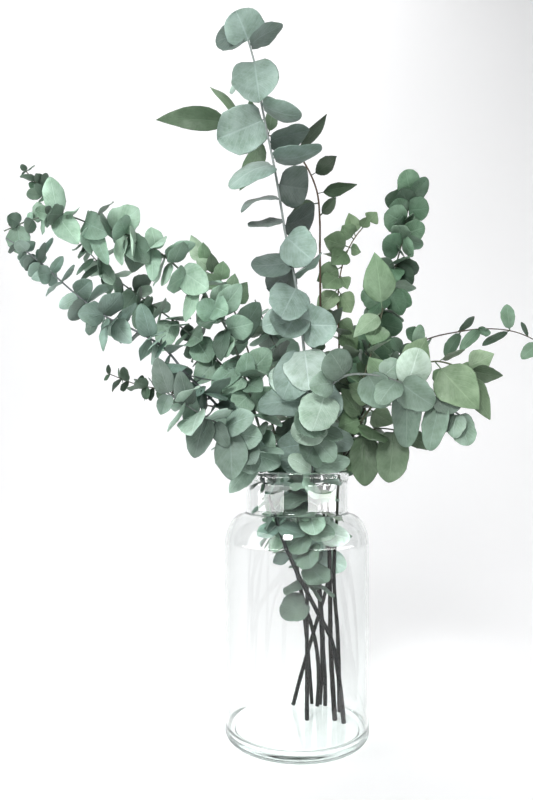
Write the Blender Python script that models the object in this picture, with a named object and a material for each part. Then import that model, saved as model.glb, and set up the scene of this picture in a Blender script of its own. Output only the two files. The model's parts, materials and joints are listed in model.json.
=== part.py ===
"""Mixed eucalyptus branches standing in a clear glass bottle.

Frame: metres, +Z up, origin at the middle of the glass foot. The front view looks along +Y.
Each leafy stem is one solid: a forked stem with its blades fused to it.
"""

import math
import random
from dataclasses import dataclass

import bmesh
import bpy
import numpy as np
from mathutils import Matrix, Vector
from mathutils.bvhtree import BVHTree

# Glass bottle
BOTTLE_HEIGHT = 0.310
BODY_RADIUS = 0.085
NECK_RADIUS = 0.0598
LIP_RADIUS = 0.0612
GLASS_WALL = 0.0038
GLASS_FLOOR = 0.0100
FOOT_ROUND = 0.0080
SHOULDER_BOTTOM = 0.228
SHOULDER_TOP = 0.262
BOTTLE_SIDES = 32

# Stems and blades
BLADE_THICKNESS = 0.0008
STEM_SIDES = 5
STEM_STEP = 0.036
CLEARANCE = 0.0006
STEM_CLEARANCE = 0.0022
SEAT_GAP = 0.0003

# Front view that the routes and the single leaves are read from: the eye's place in metres,
# its focal length in pixels, and the pixel that it looks straight at.
EYE = Vector((-0.036, -0.749, 0.322))
VIEW_FOCAL_PX = 630.0
VIEW_CENTRE_PX = (266.5, 462.0)


@dataclass(frozen=True)
class Species:
    """Leaf habit: sizes in metres, angles in degrees. The two powers set how blunt each end is."""

    length: float
    width: float
    base_power: float
    tip_power: float
    petiole: float
    spacing: float
    pair: bool
    open_angle: float
    droop: float


SPECIES = {
    "silver_dollar": Species(0.042, 0.043, 0.34, 0.62, 0.05, 0.110, True, 84, 0.55),
    "silver_ovate": Species(0.041, 0.036, 0.38, 0.84, 0.07, 0.110, True, 80, 0.55),
    "round_green": Species(0.034, 0.034, 0.38, 0.70, 0.06, 0.066, True, 74, 0.35),
    "small_dark": Species(0.019, 0.014, 0.50, 0.70, 0.08, 0.032, True, 60, 0.10),
    "small_oval": Species(0.026, 0.016, 0.55, 0.80, 0.10, 0.048, True, 62, 0.10),
    "broad_pointed": Species(0.056, 0.036, 0.42, 0.95, 0.20, 0.040, False, 66, 0.45),
    "narrow_pointed": Species(0.044, 0.020, 0.55, 1.00, 0.18, 0.040, False, 58, 0.20),
}


@dataclass(frozen=True)
class Shoot:
    """One stem or fork. Its route is (view x px, view y px, depth m); leafy is the leafed share of it."""

    tree: str
    name: str
    species: str
    route: tuple
    radii: tuple
    leafy: tuple
    seed: int
    size: float = 1.0


SHOOTS = (
    Shoot("tall_silver_stem", "tall", "silver_dollar",
          ((327, 705, .060), (323, 640, .048), (319, 570, .030), (314, 490, .004), (311, 430, -.020),
           (304, 350, -.045), (296, 285, -.055), (286, 237, -.060), (276, 176, -.065),
           (262, 107, -.075), (253, 55, -.080), (245, 30, -.083)),
          (.0024, .0010), (.27, .44), 11),
    Shoot("brown_stem", "brown", "narrow_pointed",
          ((335, 720, .011), (331, 650, .012), (330, 580, .010), (328, 500, .012), (325, 430, .020),
           (321, 340, .030), (320, 260, .035), (319, 205, .035), (312, 176, .035), (302, 160, .035),
           (289, 144, .040), (262, 133, .045), (236, 123, .045)),
          (.0028, .0008), (.38, .62), 12),
    Shoot("brown_stem", "brown_fork", "broad_pointed",
          ((325, 430, .020), (335, 390, .038), (339, 350, .047), (338, 310, .052), (340, 275, .056),
           (350, 245, .060), (362, 230, .060), (374, 216, .060)),
          (.0015, .0007), (.10, .50), 13, .62),
    Shoot("right_stem", "right_column", "round_green",
          ((293, 705, .060), (304, 664, .055), (313, 636, .050), (324, 600, .045), (333, 555, .040),
           (338, 500, .036), (345, 440, .045), (357, 385, .058), (374, 330, .068), (390, 285, .072),
           (400, 250, .072), (405, 224, .072), (410, 204, .072), (411, 192, .072)),
          (.0024, .0009), (.33, .97), 14),
    Shoot("right_stem", "right_low", "round_green",
          ((338, 500, .036), (343, 470, .016), (354, 445, -.010), (372, 430, -.030), (392, 428, -.040),
           (408, 432, -.045)),
          (.0014, .0008), (.15, .90), 15, 1.15),
    Shoot("pointed_stem", "pointed", "broad_pointed",
          ((340, 712, .037), (339, 658, .033), (337, 616, .028), (334, 580, .022), (337, 520, .008),
           (346, 450, -.004), (360, 390, -.012), (374, 345, -.012), (383, 308, -.012)),
          (.0026, .0010), (.42, .95), 16),
    Shoot("pointed_stem", "pointed_right", "broad_pointed",
          ((346, 450, -.004), (362, 420, -.025), (388, 388, -.052), (415, 368, -.066),
           (440, 361, -.078), (468, 370, -.086)),
          (.0016, .0008), (.12, .60), 17),
    Shoot("pointed_stem", "thin_right", "small_oval",
          ((346, 450, -.004), (364, 410, .008), (386, 372, .018), (410, 347, .022), (442, 335, .022),
           (482, 329, .022), (507, 330, .022), (530, 337, .022), (543, 344, .022)),
          (.0013, .0006), (.15, .52), 18),
    Shoot("front_stem", "front", "silver_dollar",
          ((307, 720, .012), (307, 650, .008), (307, 600, .002), (308, 540, -.010), (311, 480, -.026),
           (317, 425, -.045), (326, 390, -.062), (345, 376, -.074), (368, 374, -.080),
           (396, 381, -.082), (428, 396, -.080), (452, 408, -.076), (464, 418, -.074)),
          (.0024, .0009), (.30, .72), 19, .90),
    Shoot("left_upper_stem", "left_upper", "silver_ovate",
          ((318, 706, .057), (319, 676, .052), (317, 650, .046), (311, 623, .038), (303, 598, .030),
           (294, 560, .022), (285, 520, .012), (276, 485, .006), (266, 450, .000), (251, 400, -.008),
           (236, 350, -.014), (218, 314, -.020), (200, 290, -.024), (178, 268, -.026),
           (150, 246, -.028), (120, 232, -.030), (90, 224, -.030), (57, 214, -.030),
           (28, 221, -.030), (4, 231, -.030)),
          (.0024, .0007), (.30, .99), 20, .88),
    Shoot("left_upper_stem", "left_tip", "small_dark",
          ((57, 214, -.030), (46, 198, -.026), (40, 186, -.024), (31, 174, -.024), (24, 169, -.024)),
          (.0008, .0005), (.10, .99), 21, .95),
    Shoot("left_upper_stem", "left_middle", "silver_ovate",
          ((251, 400, -.008), (228, 372, .014), (202, 345, .026), (170, 318, .032), (142, 298, .034),
           (114, 277, .034), (98, 262, .034), (87, 250, .034), (78, 238, .034)),
          (.0014, .0007), (.10, .98), 22, .80),
    Shoot("left_lower_stem", "left_lower", "silver_ovate",
          ((344, 723, .003), (340, 686, .000), (333, 645, -.006), (324, 624, -.010), (312, 602, -.014),
           (297, 572, -.018), (285, 545, -.020), (273, 510, -.020), (263, 476, -.018),
           (246, 444, -.018), (220, 408, -.024), (190, 378, -.034), (163, 347, -.042),
           (132, 329, -.046), (103, 315, -.048), (73, 292, -.048), (53, 274, -.048),
           (30, 254, -.048), (6, 238, -.048)),
          (.0026, .0007), (.36, .99), 23, .78),
    Shoot("left_lower_stem", "dark_twig", "small_dark",
          ((220, 408, -.024), (202, 404, -.006), (182, 399, .004), (168, 391, .008), (150, 385, .010),
           (131, 384, .010), (117, 379, .010), (107, 373, .010)),
          (.0010, .0005), (.20, .99), 24, 1.1),
    Shoot("left_lower_stem", "left_front", "silver_ovate",
          ((263, 476, -.018), (250, 452, -.048), (236, 436, -.068), (220, 425, -.080),
           (205, 417, -.086), (186, 405, -.088), (166, 392, -.088)),
          (.0014, .0008), (.25, .90), 25, .92),
    Shoot("back_pointed_stem", "back_pointed", "broad_pointed",
          ((312, 702, .064), (308, 650, .060), (302, 600, .054), (295, 550, .046), (288, 490, .040),
           (274, 430, .056), (254, 370, .074), (236, 315, .084), (218, 282, .090), (204, 262, .092)),
          (.0022, .0009), (.34, .98), 26, .80),
    Shoot("back_stem", "back_left", "silver_dollar",
          ((322, 700, .066), (322, 640, .062), (318, 580, .056), (314, 520, .046), (308, 470, .044),
           (300, 420, .070), (288, 375, .105), (270, 335, .140), (255, 300, .165)),
          (.0023, .0009), (.36, .98), 27, .95),
    Shoot("back_stem", "back_right", "round_green",
          ((308, 470, .044), (322, 430, .075), (342, 395, .110), (366, 365, .140), (388, 340, .165)),
          (.0014, .0008), (.10, .97), 28, 1.10),
)

# Single leaves, each (shoot, base px, base py, tip px, tip py, tip nearer the eye by mm, width mm,
# roll in degrees from facing the eye).
SINGLE_LEAVES = (
    ("tall", 247, 40, 236, 8, 16, 44, 0), ("tall", 244, 33, 214, 39, -6, 28, 30),
    ("tall", 250, 46, 283, 25, 6, 34, 58), ("tall", 252, 57, 259, 100, 13, 50, 0),
    ("tall", 251, 66, 229, 92, -20, 22, 70), ("tall", 262, 105, 301, 114, 8, 36, 55),
    ("tall", 266, 119, 216, 139, 20, 47, 0), ("tall", 270, 142, 310, 130, -4, 34, 50),
    ("tall", 272, 157, 322, 147, 10, 40, 62), ("tall", 274, 167, 229, 189, 6, 40, 60),
    ("tall", 277, 186, 308, 189, -22, 44, 8), ("tall", 280, 201, 240, 209, 4, 34, 82),
    ("tall", 284, 221, 248, 226, -6, 30, 74), ("tall", 284, 228, 314, 214, -20, 38, 35),
    ("tall", 287, 238, 312, 260, 20, 44, 8), ("tall", 292, 262, 251, 267, 6, 36, 45),
    ("tall", 294, 270, 267, 288, -22, 40, 18), ("tall", 296, 276, 323, 255, 8, 34, 78),
    ("tall", 297, 288, 280, 314, 28, 48, 4), ("tall", 299, 306, 281, 336, 10, 46, 6),
    ("tall", 301, 322, 337, 324, 22, 46, 12), ("tall", 304, 350, 311, 390, 14, 50, 0),
    ("front", 410, 387, 421, 349, 22, 36, 0), ("front", 394, 380, 378, 406, 20, 28, 15),
    ("front", 398, 382, 434, 405, 0, 36, 10), ("front", 325, 392, 316, 431, 20, 46, 0),
    ("front", 317, 420, 299, 444, 14, 40, 5), ("front", 312, 474, 288, 459, 16, 24, 20),
    ("front", 314, 440, 334, 463, 12, 28, 15),
    ("tall", 304, 357, 281, 400, 2, 46, 8), ("tall", 309, 394, 342, 412, 14, 46, 5),
    ("tall", 312, 436, 314, 468, 10, 30, 78),
    ("front", 314, 464, 350, 459, 6, 26, 30),
    ("tall", 306, 372, 344, 362, -12, 36, 15), ("tall", 307, 386, 270, 372, -14, 40, 15),
    ("tall", 309, 404, 258, 404, -10, 38, 20), ("tall", 312, 430, 352, 442, -14, 36, 20),
    ("tall", 313, 442, 276, 446, -10, 38, 15), ("tall", 299, 320, 262, 330, -16, 36, 20),
    ("brown", 312, 175, 337, 158, 4, 21, 20), ("brown", 320, 197, 357, 187, 6, 17, 25),
    ("brown", 320, 214, 336, 197, 2, 18, 30), ("brown", 317, 204, 290, 213, -4, 16, 30),
    ("brown", 299, 145, 328, 118, 4, 18, 35), ("brown", 266, 136, 243, 193, -8, 27, 20),
    ("brown", 238, 124, 156, 116, 6, 27, 8), ("brown", 244, 123, 210, 84, 2, 20, 55),
    ("brown", 254, 127, 250, 97, -10, 14, 30), ("brown", 270, 135, 273, 106, -8, 17, 20),
    ("brown_fork", 369, 222, 378, 211, 8, 20, 10), ("brown_fork", 358, 236, 349, 213, 2, 21, 5),
    ("brown_fork", 352, 246, 325, 239, 4, 31, 10), ("brown_fork", 350, 245, 362, 251, 10, 16, 20),
    ("brown_fork", 344, 256, 320, 256, 0, 20, 25), ("brown_fork", 340, 266, 317, 280, 8, 30, 5),
    ("brown_fork", 339, 276, 350, 290, 8, 22, 20), ("brown_fork", 338, 286, 319, 311, 6, 28, 5),
    ("brown_fork", 337, 310, 318, 332, 6, 28, 10), ("brown_fork", 338, 330, 358, 346, 4, 28, 10),
    ("right_column", 410, 195, 404, 171, 9, 32, 10), ("right_column", 408, 204, 385, 197, 0, 28, 15),
    ("right_column", 410, 200, 426, 180, 2, 30, 15), ("right_column", 408, 212, 429, 208, 6, 32, 10), ("right_column", 406, 222, 385, 212, 10, 34, 5),
    ("right_column", 405, 233, 425, 226, 6, 28, 10), ("right_column", 403, 236, 414, 256, 10, 18, 35),
    ("right_column", 401, 250, 383, 241, 8, 34, 5), ("right_column", 400, 256, 421, 252, -6, 26, 20),
    ("right_column", 397, 268, 413, 284, 6, 28, 15), ("right_column", 391, 296, 412, 304, 2, 26, 20),
    ("pointed", 383, 306, 377, 253, 4, 37, 0), ("pointed", 382, 312, 353, 337, 12, 24, 25),
    ("pointed", 380, 320, 370, 346, 10, 31, 0),
    ("pointed_right", 410, 372, 428, 336, -8, 30, 10), ("pointed_right", 376, 402, 348, 386, 2, 28, 15),
    ("pointed_right", 390, 387, 372, 356, -4, 28, 10), ("pointed_right", 364, 418, 340, 426, 10, 32, 10),
    ("pointed_right", 372, 408, 394, 424, 8, 28, 15),
    ("pointed_right", 437, 362, 477, 412, 16, 44, 0), ("pointed_right", 462, 367, 494, 354, 2, 25, 5),
    ("pointed_right", 466, 370, 501, 377, 0, 20, 15), ("pointed_right", 467, 371, 489, 420, 2, 25, 5),
    ("pointed_right", 440, 361, 467, 352, 2, 16, 65),
    ("thin_right", 508, 330, 507, 305, 0, 17, 10), ("thin_right", 456, 333, 474, 317, 2, 13, 30),
    ("thin_right", 477, 330, 490, 333, 12, 14, 40), ("thin_right", 480, 329, 461, 351, 2, 15, 15),
    ("thin_right", 460, 332, 443, 356, 2, 16, 15), ("thin_right", 507, 331, 482, 346, 2, 13, 40),
    ("thin_right", 538, 341, 520, 357, 2, 18, 10), ("thin_right", 528, 336, 522, 322, 0, 9, 50),
    ("thin_right", 430, 338, 441, 326, 2, 18, 10), ("thin_right", 424, 341, 405, 331, 2, 18, 15),
    ("front", 332, 384, 312, 386, 12, 29, 5), ("front", 345, 376, 330, 352, 10, 40, 10),
    ("front", 366, 374, 387, 409, -4, 36, 8),
    ("front", 432, 398, 462, 405, 10, 28, 20), ("front", 456, 411, 466, 445, 6, 27, 5),
    ("front", 440, 402, 431, 452, -6, 28, 15), ("front", 408, 386, 408, 448, -22, 32, 10),
    ("front", 448, 406, 440, 437, 8, 21, 20), ("front", 462, 416, 478, 425, 8, 24, 10),
    ("right_low", 346, 460, 322, 448, 10, 34, 10), ("right_low", 350, 450, 377, 441, 12, 32, 8),
    ("right_column", 352, 400, 334, 428, 4, 36, 15), ("right_column", 366, 352, 392, 372, 6, 34, 15),
    ("right_column", 360, 374, 336, 352, 6, 34, 15), ("right_column", 384, 305, 362, 290, 4, 32, 15),
    ("right_column", 378, 322, 402, 330, 4, 32, 15),
    ("right_low", 366, 433, 364, 487, 6, 34, 5), ("right_low", 394, 428, 391, 484, 4, 38, 5),
    ("right_low", 404, 431, 431, 448, 2, 20, 25),
    ("left_upper", 57, 214, 51, 178, 4, 25, 0), ("left_upper", 58, 214, 78, 247, 10, 29, 0),
    ("left_upper", 50, 215, 27, 212, 10, 24, 25), ("left_upper", 84, 223, 108, 235, 12, 32, 5),
    ("left_upper", 114, 230, 140, 210, 10, 34, 5), ("left_upper", 94, 224, 108, 266, -4, 21, 25),
    ("left_upper", 131, 236, 149, 263, 10, 28, 5), ("left_upper", 156, 250, 150, 228, 0, 24, 25),
    ("left_upper", 152, 247, 153, 281, 8, 20, 20), ("left_upper", 165, 257, 193, 241, 6, 20, 30),
    ("left_upper", 181, 270, 208, 288, 12, 36, 5), ("left_upper", 220, 316, 195, 306, 10, 30, 8),
    ("left_upper", 217, 312, 242, 285, 8, 27, 10), ("left_upper", 232, 340, 261, 303, -6, 32, 10),
    ("left_upper", 196, 286, 184, 322, 8, 18, 30), ("left_upper", 226, 330, 219, 361, 14, 22, 30),
    ("left_upper", 240, 362, 213, 389, 8, 27, 10), ("left_upper", 244, 378, 246, 352, 8, 25, 15),
    ("left_upper", 249, 392, 234, 410, 20, 31, 0), ("left_upper", 254, 410, 279, 388, 10, 34, 5),
    ("left_upper", 20, 224, 8, 216, 8, 20, 20), ("left_upper", 16, 226, 20, 256, 6, 26, 15),
    ("left_upper", 260, 432, 268, 466, 14, 36, 10), ("left_upper", 262, 440, 232, 436, 6, 32, 15),
    ("left_upper", 244, 376, 272, 350, -10, 36, 15), ("left_upper", 236, 350, 214, 336, 4, 24, 20),
    ("left_upper", 226, 330, 252, 322, 10, 32, 15), ("left_upper", 212, 306, 236, 290, -4, 30, 20),
    ("left_upper", 270, 466, 296, 488, 8, 32, 15), ("left_upper", 252, 402, 222, 396, -8, 30, 20),
    ("left_middle", 196, 340, 211, 362, 16, 33, 5), ("left_middle", 216, 360, 196, 384, 8, 30, 15),
    ("left_middle", 172, 320, 160, 350, 8, 30, 15), ("left_middle", 146, 302, 138, 330, 8, 26, 15), ("left_middle", 100, 264, 118, 286, 4, 20, 10),
    ("left_middle", 92, 256, 76, 274, 4, 10, 50), ("left_middle", 102, 266, 80, 282, 4, 10, 45),
    ("left_lower", 53, 274, 32, 279, 4, 14, 15), ("left_lower", 54, 274, 64, 257, 2, 12, 20),
    ("left_lower", 37, 260, 53, 238, 2, 12, 50), ("left_lower", 78, 296, 57, 292, 4, 15, 30),
    ("left_lower", 80, 298, 60, 308, 4, 17, 15), ("left_lower", 76, 294, 92, 281, 4, 22, 10),
    ("left_lower", 104, 315, 78, 312, 8, 28, 20), ("left_lower", 108, 317, 105, 352, 4, 20, 62),
    ("left_lower", 112, 320, 131, 341, 4, 24, 15), ("left_lower", 148, 338, 140, 304, 4, 24, 15),
    ("left_lower", 204, 392, 182, 398, 8, 28, 15), ("left_lower", 222, 412, 248, 432, 8, 32, 15),
    ("left_lower", 246, 446, 274, 462, 10, 32, 15), ("left_lower", 184, 372, 166, 384, 6, 26, 20),
    ("left_front", 206, 417, 197, 459, 6, 30, 0), ("left_front", 230, 431, 233, 480, 6, 36, 0),
    ("left_front", 246, 446, 252, 476, 14, 27, 5), ("left_front", 256, 463, 231, 495, 8, 27, 10),
    ("left_front", 215, 422, 226, 447, 4, 20, 20), ("left_front", 168, 393, 156, 359, 4, 24, 0),
    ("left_front", 169, 393, 161, 415, 6, 17, 10), ("left_front", 188, 406, 182, 372, -4, 24, 20),
    ("back_pointed", 206, 266, 190, 236, -2, 24, 10), ("back_pointed", 205, 264, 203, 243, 4, 20, 20),
    ("back_pointed", 218, 284, 222, 260, 2, 24, 10), ("back_pointed", 230, 305, 248, 282, 0, 26, 15),
    ("front", 309, 500, 300, 521, 8, 30, 5), ("tall", 317, 530, 353, 536, 12, 28, 15),
    ("tall", 318, 556, 346, 568, 12, 30, 10), ("front", 308, 556, 292, 540, 4, 27, 5),
    ("left_upper", 284, 516, 264, 490, 10, 32, 10), ("left_lower", 280, 530, 262, 514, 6, 26, 15),
    ("left_lower", 288, 552, 273, 562, 4, 16, 20), ("front", 307, 601, 281, 618, 10, 33, 0),
    ("front", 307, 626, 303, 642, 4, 11, 10), ("pointed", 336, 590, 322, 572, 4, 20, 20),
)

COLOURS = {
    "glass": (0.82, 0.90, 0.88),
    "silver": (0.33, 0.45, 0.38),
    "green": (0.18, 0.29, 0.18),
}
GREEN_TREES = ("brown_stem", "pointed_stem", "back_pointed_stem", "right_stem")


def seen(px, py, depth):
    """The point at this pixel of the front view that lies at this depth (+Y is away from the eye)."""
    away = depth - EYE.y
    across = (px - VIEW_CENTRE_PX[0]) * away / VIEW_FOCAL_PX
    up = (VIEW_CENTRE_PX[1] - py) * away / VIEW_FOCAL_PX
    return Vector((EYE.x + across, depth, EYE.z + up))


def as_seen(point):
    """The front view's pixel of a point."""
    away = point[1] - EYE.y
    return (VIEW_CENTRE_PX[0] + (point[0] - EYE.x) * VIEW_FOCAL_PX / away,
            VIEW_CENTRE_PX[1] - (point[2] - EYE.z) * VIEW_FOCAL_PX / away)


def smooth_line(points, step):
    """Points every step along a Catmull-Rom curve through the given ones."""
    knots = [2 * points[0] - points[1], *points, 2 * points[-1] - points[-2]]
    dense = []
    for a, b, c, d in zip(knots, knots[1:], knots[2:], knots[3:]):
        for i in range(12):
            t = i / 12
            dense.append(0.5 * (2 * b + (c - a) * t + (2 * a - 5 * b + 4 * c - d) * t ** 2
                                + (3 * b - a - 3 * c + d) * t ** 3))
    dense.append(points[-1])
    return resampled(np.array([tuple(p) for p in dense]), step)


def resampled(line, step):
    """The polyline with its points an even step apart."""
    along = np.concatenate([[0], np.cumsum(np.linalg.norm(np.diff(line, axis=0), axis=1))])
    count = max(2, round(along[-1] / step) + 1)
    wanted = np.linspace(0, along[-1], count)
    return np.stack([np.interp(wanted, along, line[:, k]) for k in range(3)], axis=1)


def inner_radius(z):
    """Free radius inside the bottle at this height."""
    if z > SHOULDER_TOP:
        return NECK_RADIUS - GLASS_WALL
    if z < GLASS_FLOOR + FOOT_ROUND:
        return BODY_RADIUS - GLASS_WALL - FOOT_ROUND
    if z < SHOULDER_BOTTOM:
        return BODY_RADIUS - GLASS_WALL
    share = (z - SHOULDER_BOTTOM) / (SHOULDER_TOP - SHOULDER_BOTTOM)
    return BODY_RADIUS - GLASS_WALL - (BODY_RADIUS - NECK_RADIUS) * share


def radii_along(shoot, count):
    return np.linspace(shoot.radii[0], shoot.radii[1], count)


FINE_STEP = 0.005
FORK_FREE = 0.030
PUSH_ROUNDS = 60
RIM_ZONE = 0.007
INSIDE_MARGIN = 0.0014


class Route:
    """A stem's straight pieces between a few knots, and the even points on them."""

    def __init__(self, shoot):
        self.shoot = shoot
        self.knots = smooth_line([seen(*p) for p in shoot.route], STEM_STEP)
        length = np.linalg.norm(np.diff(self.knots, axis=0), axis=1).sum()
        place = np.linspace(0, len(self.knots) - 1, round(length / FINE_STEP) + 1)
        self.first = np.minimum(place.astype(int), len(self.knots) - 2)
        self.share = place - self.first
        self.radii = radii_along(shoot, len(place))

    def points(self):
        share = self.share[:, None]
        return self.knots[self.first] * (1 - share) + self.knots[self.first + 1] * share

    def push(self, i, move):
        """Moves the knots on both sides of point i so that it moves by this much."""
        t = self.share[i]
        even = (1 - t) ** 2 + t ** 2
        foot = self.knots[0, 2]
        self.knots[self.first[i]] += move * (1 - t) / even
        self.knots[self.first[i] + 1] += move * t / even
        if self.shoot.route[0][1] > MAIN_STEM_PX:
            self.knots[0, 2] = foot

    def keep_in_bottle(self):
        for i, radius in enumerate(self.radii):
            x, y, z = self.points()[i]
            room = inner_radius(z) - radius - INSIDE_MARGIN
            out = math.hypot(x, y)
            if z < BOTTLE_HEIGHT + RIM_ZONE and out > room:
                self.push(i, np.array([x, y, 0]) * (room / out - 1))


MAIN_STEM_PX = 600


def pushed_apart():
    """The routes of all shoots, moved until no two stems and no stem and the glass touch."""
    routes = {s.name: Route(s) for s in SHOOTS}
    parents = {}
    for s in SHOOTS:
        if s.route[0][1] < MAIN_STEM_PX:
            start = routes[s.name].knots[0]
            family = [m.name for m in SHOOTS if m.tree == s.tree and m is not s]
            parents[s.name] = min(family, key=lambda n: gaps_to(routes[n], start).min())
    for _ in range(PUSH_ROUNDS):
        for i, a in enumerate(SHOOTS):
            for b in SHOOTS[i + 1:]:
                push_pair(routes[a.name], routes[b.name])
        for route in routes.values():
            route.keep_in_bottle()
        for child, parent in parents.items():
            points = routes[parent].points()
            nearest = gaps_to(routes[parent], routes[child].knots[0]).argmin()
            routes[child].knots[0] = points[nearest]
    return routes


def gaps_to(route, place):
    return np.linalg.norm(route.points() - place, axis=1)


def push_pair(a, b):
    """Moves two stems apart at each point of a that comes too close to b."""
    pa, pb = a.points(), b.points()
    apart = pa[:, None] - pb[None]
    distance = np.linalg.norm(apart, axis=2)
    need = a.radii[:, None] + b.radii[None] + STEM_CLEARANCE
    if a.shoot.tree == b.shoot.tree:
        forked = pa[0] if a.shoot.route[0][1] < b.shoot.route[0][1] else pb[0]
        near = np.linalg.norm(pa - forked, axis=1)[:, None] < FORK_FREE
        distance = np.where(near, 1.0, distance)
    for i in np.nonzero((distance < need).any(axis=1))[0]:
        j = int(distance[i].argmin())
        if need[i, j] > distance[i, j] > 1e-6:
            step = apart[i, j] / distance[i, j] * (need[i, j] - distance[i, j]) * 0.5
            a.push(i, step)
            b.push(j, -step)


def frames_along(line):
    """Tangent, side and up at each point, turned as little as possible from one to the next."""
    tangents = np.gradient(line, axis=0)
    tangents /= np.linalg.norm(tangents, axis=1)[:, None]
    side = Vector(tangents[0]).orthogonal().normalized()
    frames = []
    for t in tangents:
        t = Vector(t)
        side = (side - t * side.dot(t)).normalized()
        frames.append((t, side, t.cross(side)))
    return frames


def tube(line, radii, sides):
    """(points, faces) of a closed tube of this many sides, with flat ends."""
    points, faces = [], []
    for centre, radius, (_, side, up) in zip(line, radii, frames_along(line)):
        for k in range(sides):
            angle = 2 * math.pi * k / sides
            points.append(Vector(centre) + (side * math.cos(angle) + up * math.sin(angle)) * radius)
    for ring in range(len(line) - 1):
        for k in range(sides):
            a, b = ring * sides + k, ring * sides + (k + 1) % sides
            faces.append((a, b, b + sides, a + sides))
    faces.append(tuple(reversed(range(sides))))
    faces.append(tuple(range((len(line) - 1) * sides, len(line) * sides)))
    return points, faces


@dataclass
class Leaf:
    """One blade: root and axes in the row frame, sizes in metres, arch and cup as shares."""

    shoot: str
    species: Species
    root: Vector
    along: Vector
    normal: Vector
    length: float
    width: float
    arch: float
    cup: float

    def half_width(self, share):
        """Half of the width at this share of the length. The petiole is narrow, the blade is rounded."""
        petiole = self.species.petiole
        stalk = 0.0007
        if share <= petiole:
            return stalk
        t = (share - petiole) / (1 - petiole)
        a, b = self.species.base_power, self.species.tip_power
        peak = a / (a + b)
        top = peak ** a * (1 - peak) ** b
        return max(stalk, self.width / 2 * t ** a * (1 - t) ** b / top)

    def at(self, share, across, lift=0.0, grow=0.0):
        """The point at this share of the length and this share of the half width, off the face by lift."""
        side = self.normal.cross(self.along)
        half = self.half_width(share)
        rise = self.arch * self.length * 4 * share * (1 - share)
        rise += self.cup * half * (abs(across) ** 1.5 - 0.5)
        return (self.root + self.along * share * self.length + side * across * (half + grow)
                + self.normal * (rise + lift))


SMALL_LEAF = 0.031


def stations_of(leaf):
    """Where along the blade its outline has a pair of corners."""
    petiole = leaf.species.petiole
    if leaf.length < SMALL_LEAF:
        return (0.24, 0.72)
    if petiole < 0.12:
        return (petiole + 0.06, 0.42, 0.80)
    return (petiole + (1 - petiole) * 0.08, petiole + (1 - petiole) * 0.38,
            petiole + (1 - petiole) * 0.75)


def blade(leaf, first=0.0, grow=0.0):
    """(points, triangles) of the closed blade from this share of its length on, grown on all sides."""
    lift = BLADE_THICKNESS / 2 + grow
    rows = [s for s in stations_of(leaf) if s > first + 0.02]
    points = []
    for sign in (1, -1):
        points.append(leaf.at(first, 0, sign * lift))
        for s in rows:
            points += [leaf.at(s, -1, sign * lift, grow), leaf.at(s, 1, sign * lift, grow)]
        points.append(leaf.at(1, 0, sign * lift) + leaf.along * grow)
    half = len(points) // 2
    last = half - 1
    top = [(0, 1, 2)]
    for r in range(len(rows) - 1):
        a = 1 + 2 * r
        top += [(a, a + 2, a + 3), (a, a + 3, a + 1)]
    top.append((last - 2, last, last - 1))
    rim = [0, *range(1, last, 2), last, *range(last - 1, 0, -2)]
    faces = list(top)
    faces += [(c + half, b + half, a + half) for a, b, c in top]
    for a, b in zip(rim, rim[1:] + rim[:1]):
        faces += [(a, a + half, b + half), (a, b + half, b)]
    return points, faces


TRIM_ROOT = 0.16


class Crowd:
    """Everything that a new leaf has to stay clear of."""

    def __init__(self, lines, coarse, bottle):
        self.bottle = BVHTree.FromPolygons(*bottle)
        self.stems = {}
        for s in SHOOTS:
            self.stems.setdefault(s.tree, []).append(BVHTree.FromPolygons(*coarse[s.name]))
        self.lines = lines
        self.centres = np.zeros((0, 3))
        self.reach = np.zeros(0)
        self.placed = []

    def free(self, tree, leaf):
        whole = BVHTree.FromPolygons(*blade(leaf, 0.0, CLEARANCE))
        if whole.overlap(self.bottle):
            return False
        trimmed = BVHTree.FromPolygons(*blade(leaf, TRIM_ROOT, CLEARANCE))
        for other, trees in self.stems.items():
            tested = trimmed if other == tree else whole
            if any(tested.overlap(stem) for stem in trees):
                return False
        centre = np.array(leaf.root + leaf.along * leaf.length / 2)
        reach = max(leaf.length, leaf.width) * 0.62
        near = np.nonzero(np.linalg.norm(self.centres - centre, axis=1) < self.reach + reach)[0]
        for k in near:
            other, other_whole, other_trimmed = self.placed[k]
            if other == tree and trimmed.overlap(other_trimmed):
                return False
            if other != tree and whole.overlap(other_whole):
                return False
        return True

    def add(self, tree, leaf):
        centre = np.array(leaf.root + leaf.along * leaf.length / 2)
        self.centres = np.vstack([self.centres, centre])
        self.reach = np.append(self.reach, max(leaf.length, leaf.width) * 0.62)
        self.placed.append((tree, BVHTree.FromPolygons(*blade(leaf)),
                            BVHTree.FromPolygons(*blade(leaf, TRIM_ROOT))))


def turned(vector, axis, degrees):
    return Matrix.Rotation(math.radians(degrees), 3, axis) @ vector


def single_leaf(row, shoot, line, draw, turn=0.0, shrink=1.0, lean=0.0):
    """A leaf read from the front view, with its root on the stem point nearest to the given pixel."""
    _, base_x, base_y, tip_x, tip_y, nearer, width, roll = row
    gaps = [math.dist(as_seen(p), (base_x, base_y)) for p in line]
    root = Vector(line[min(int(np.argmin(gaps)), len(line) - 2)])
    tip = seen(tip_x, tip_y, root.y - nearer / 1000)
    along = tip - root
    length = along.length * shrink
    along.normalize()
    facing = (EYE - root).normalized()
    normal = (facing - along * facing.dot(along)).normalized()
    normal = turned(normal, along, roll + turn)
    along = turned(along, along.cross(normal), lean)
    normal = (normal - along * normal.dot(along)).normalized()
    return Leaf(shoot.name, SPECIES[shoot.species], root, along, normal, length, width / 1000 * shrink,
                draw["arch"], draw["cup"])


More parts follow.
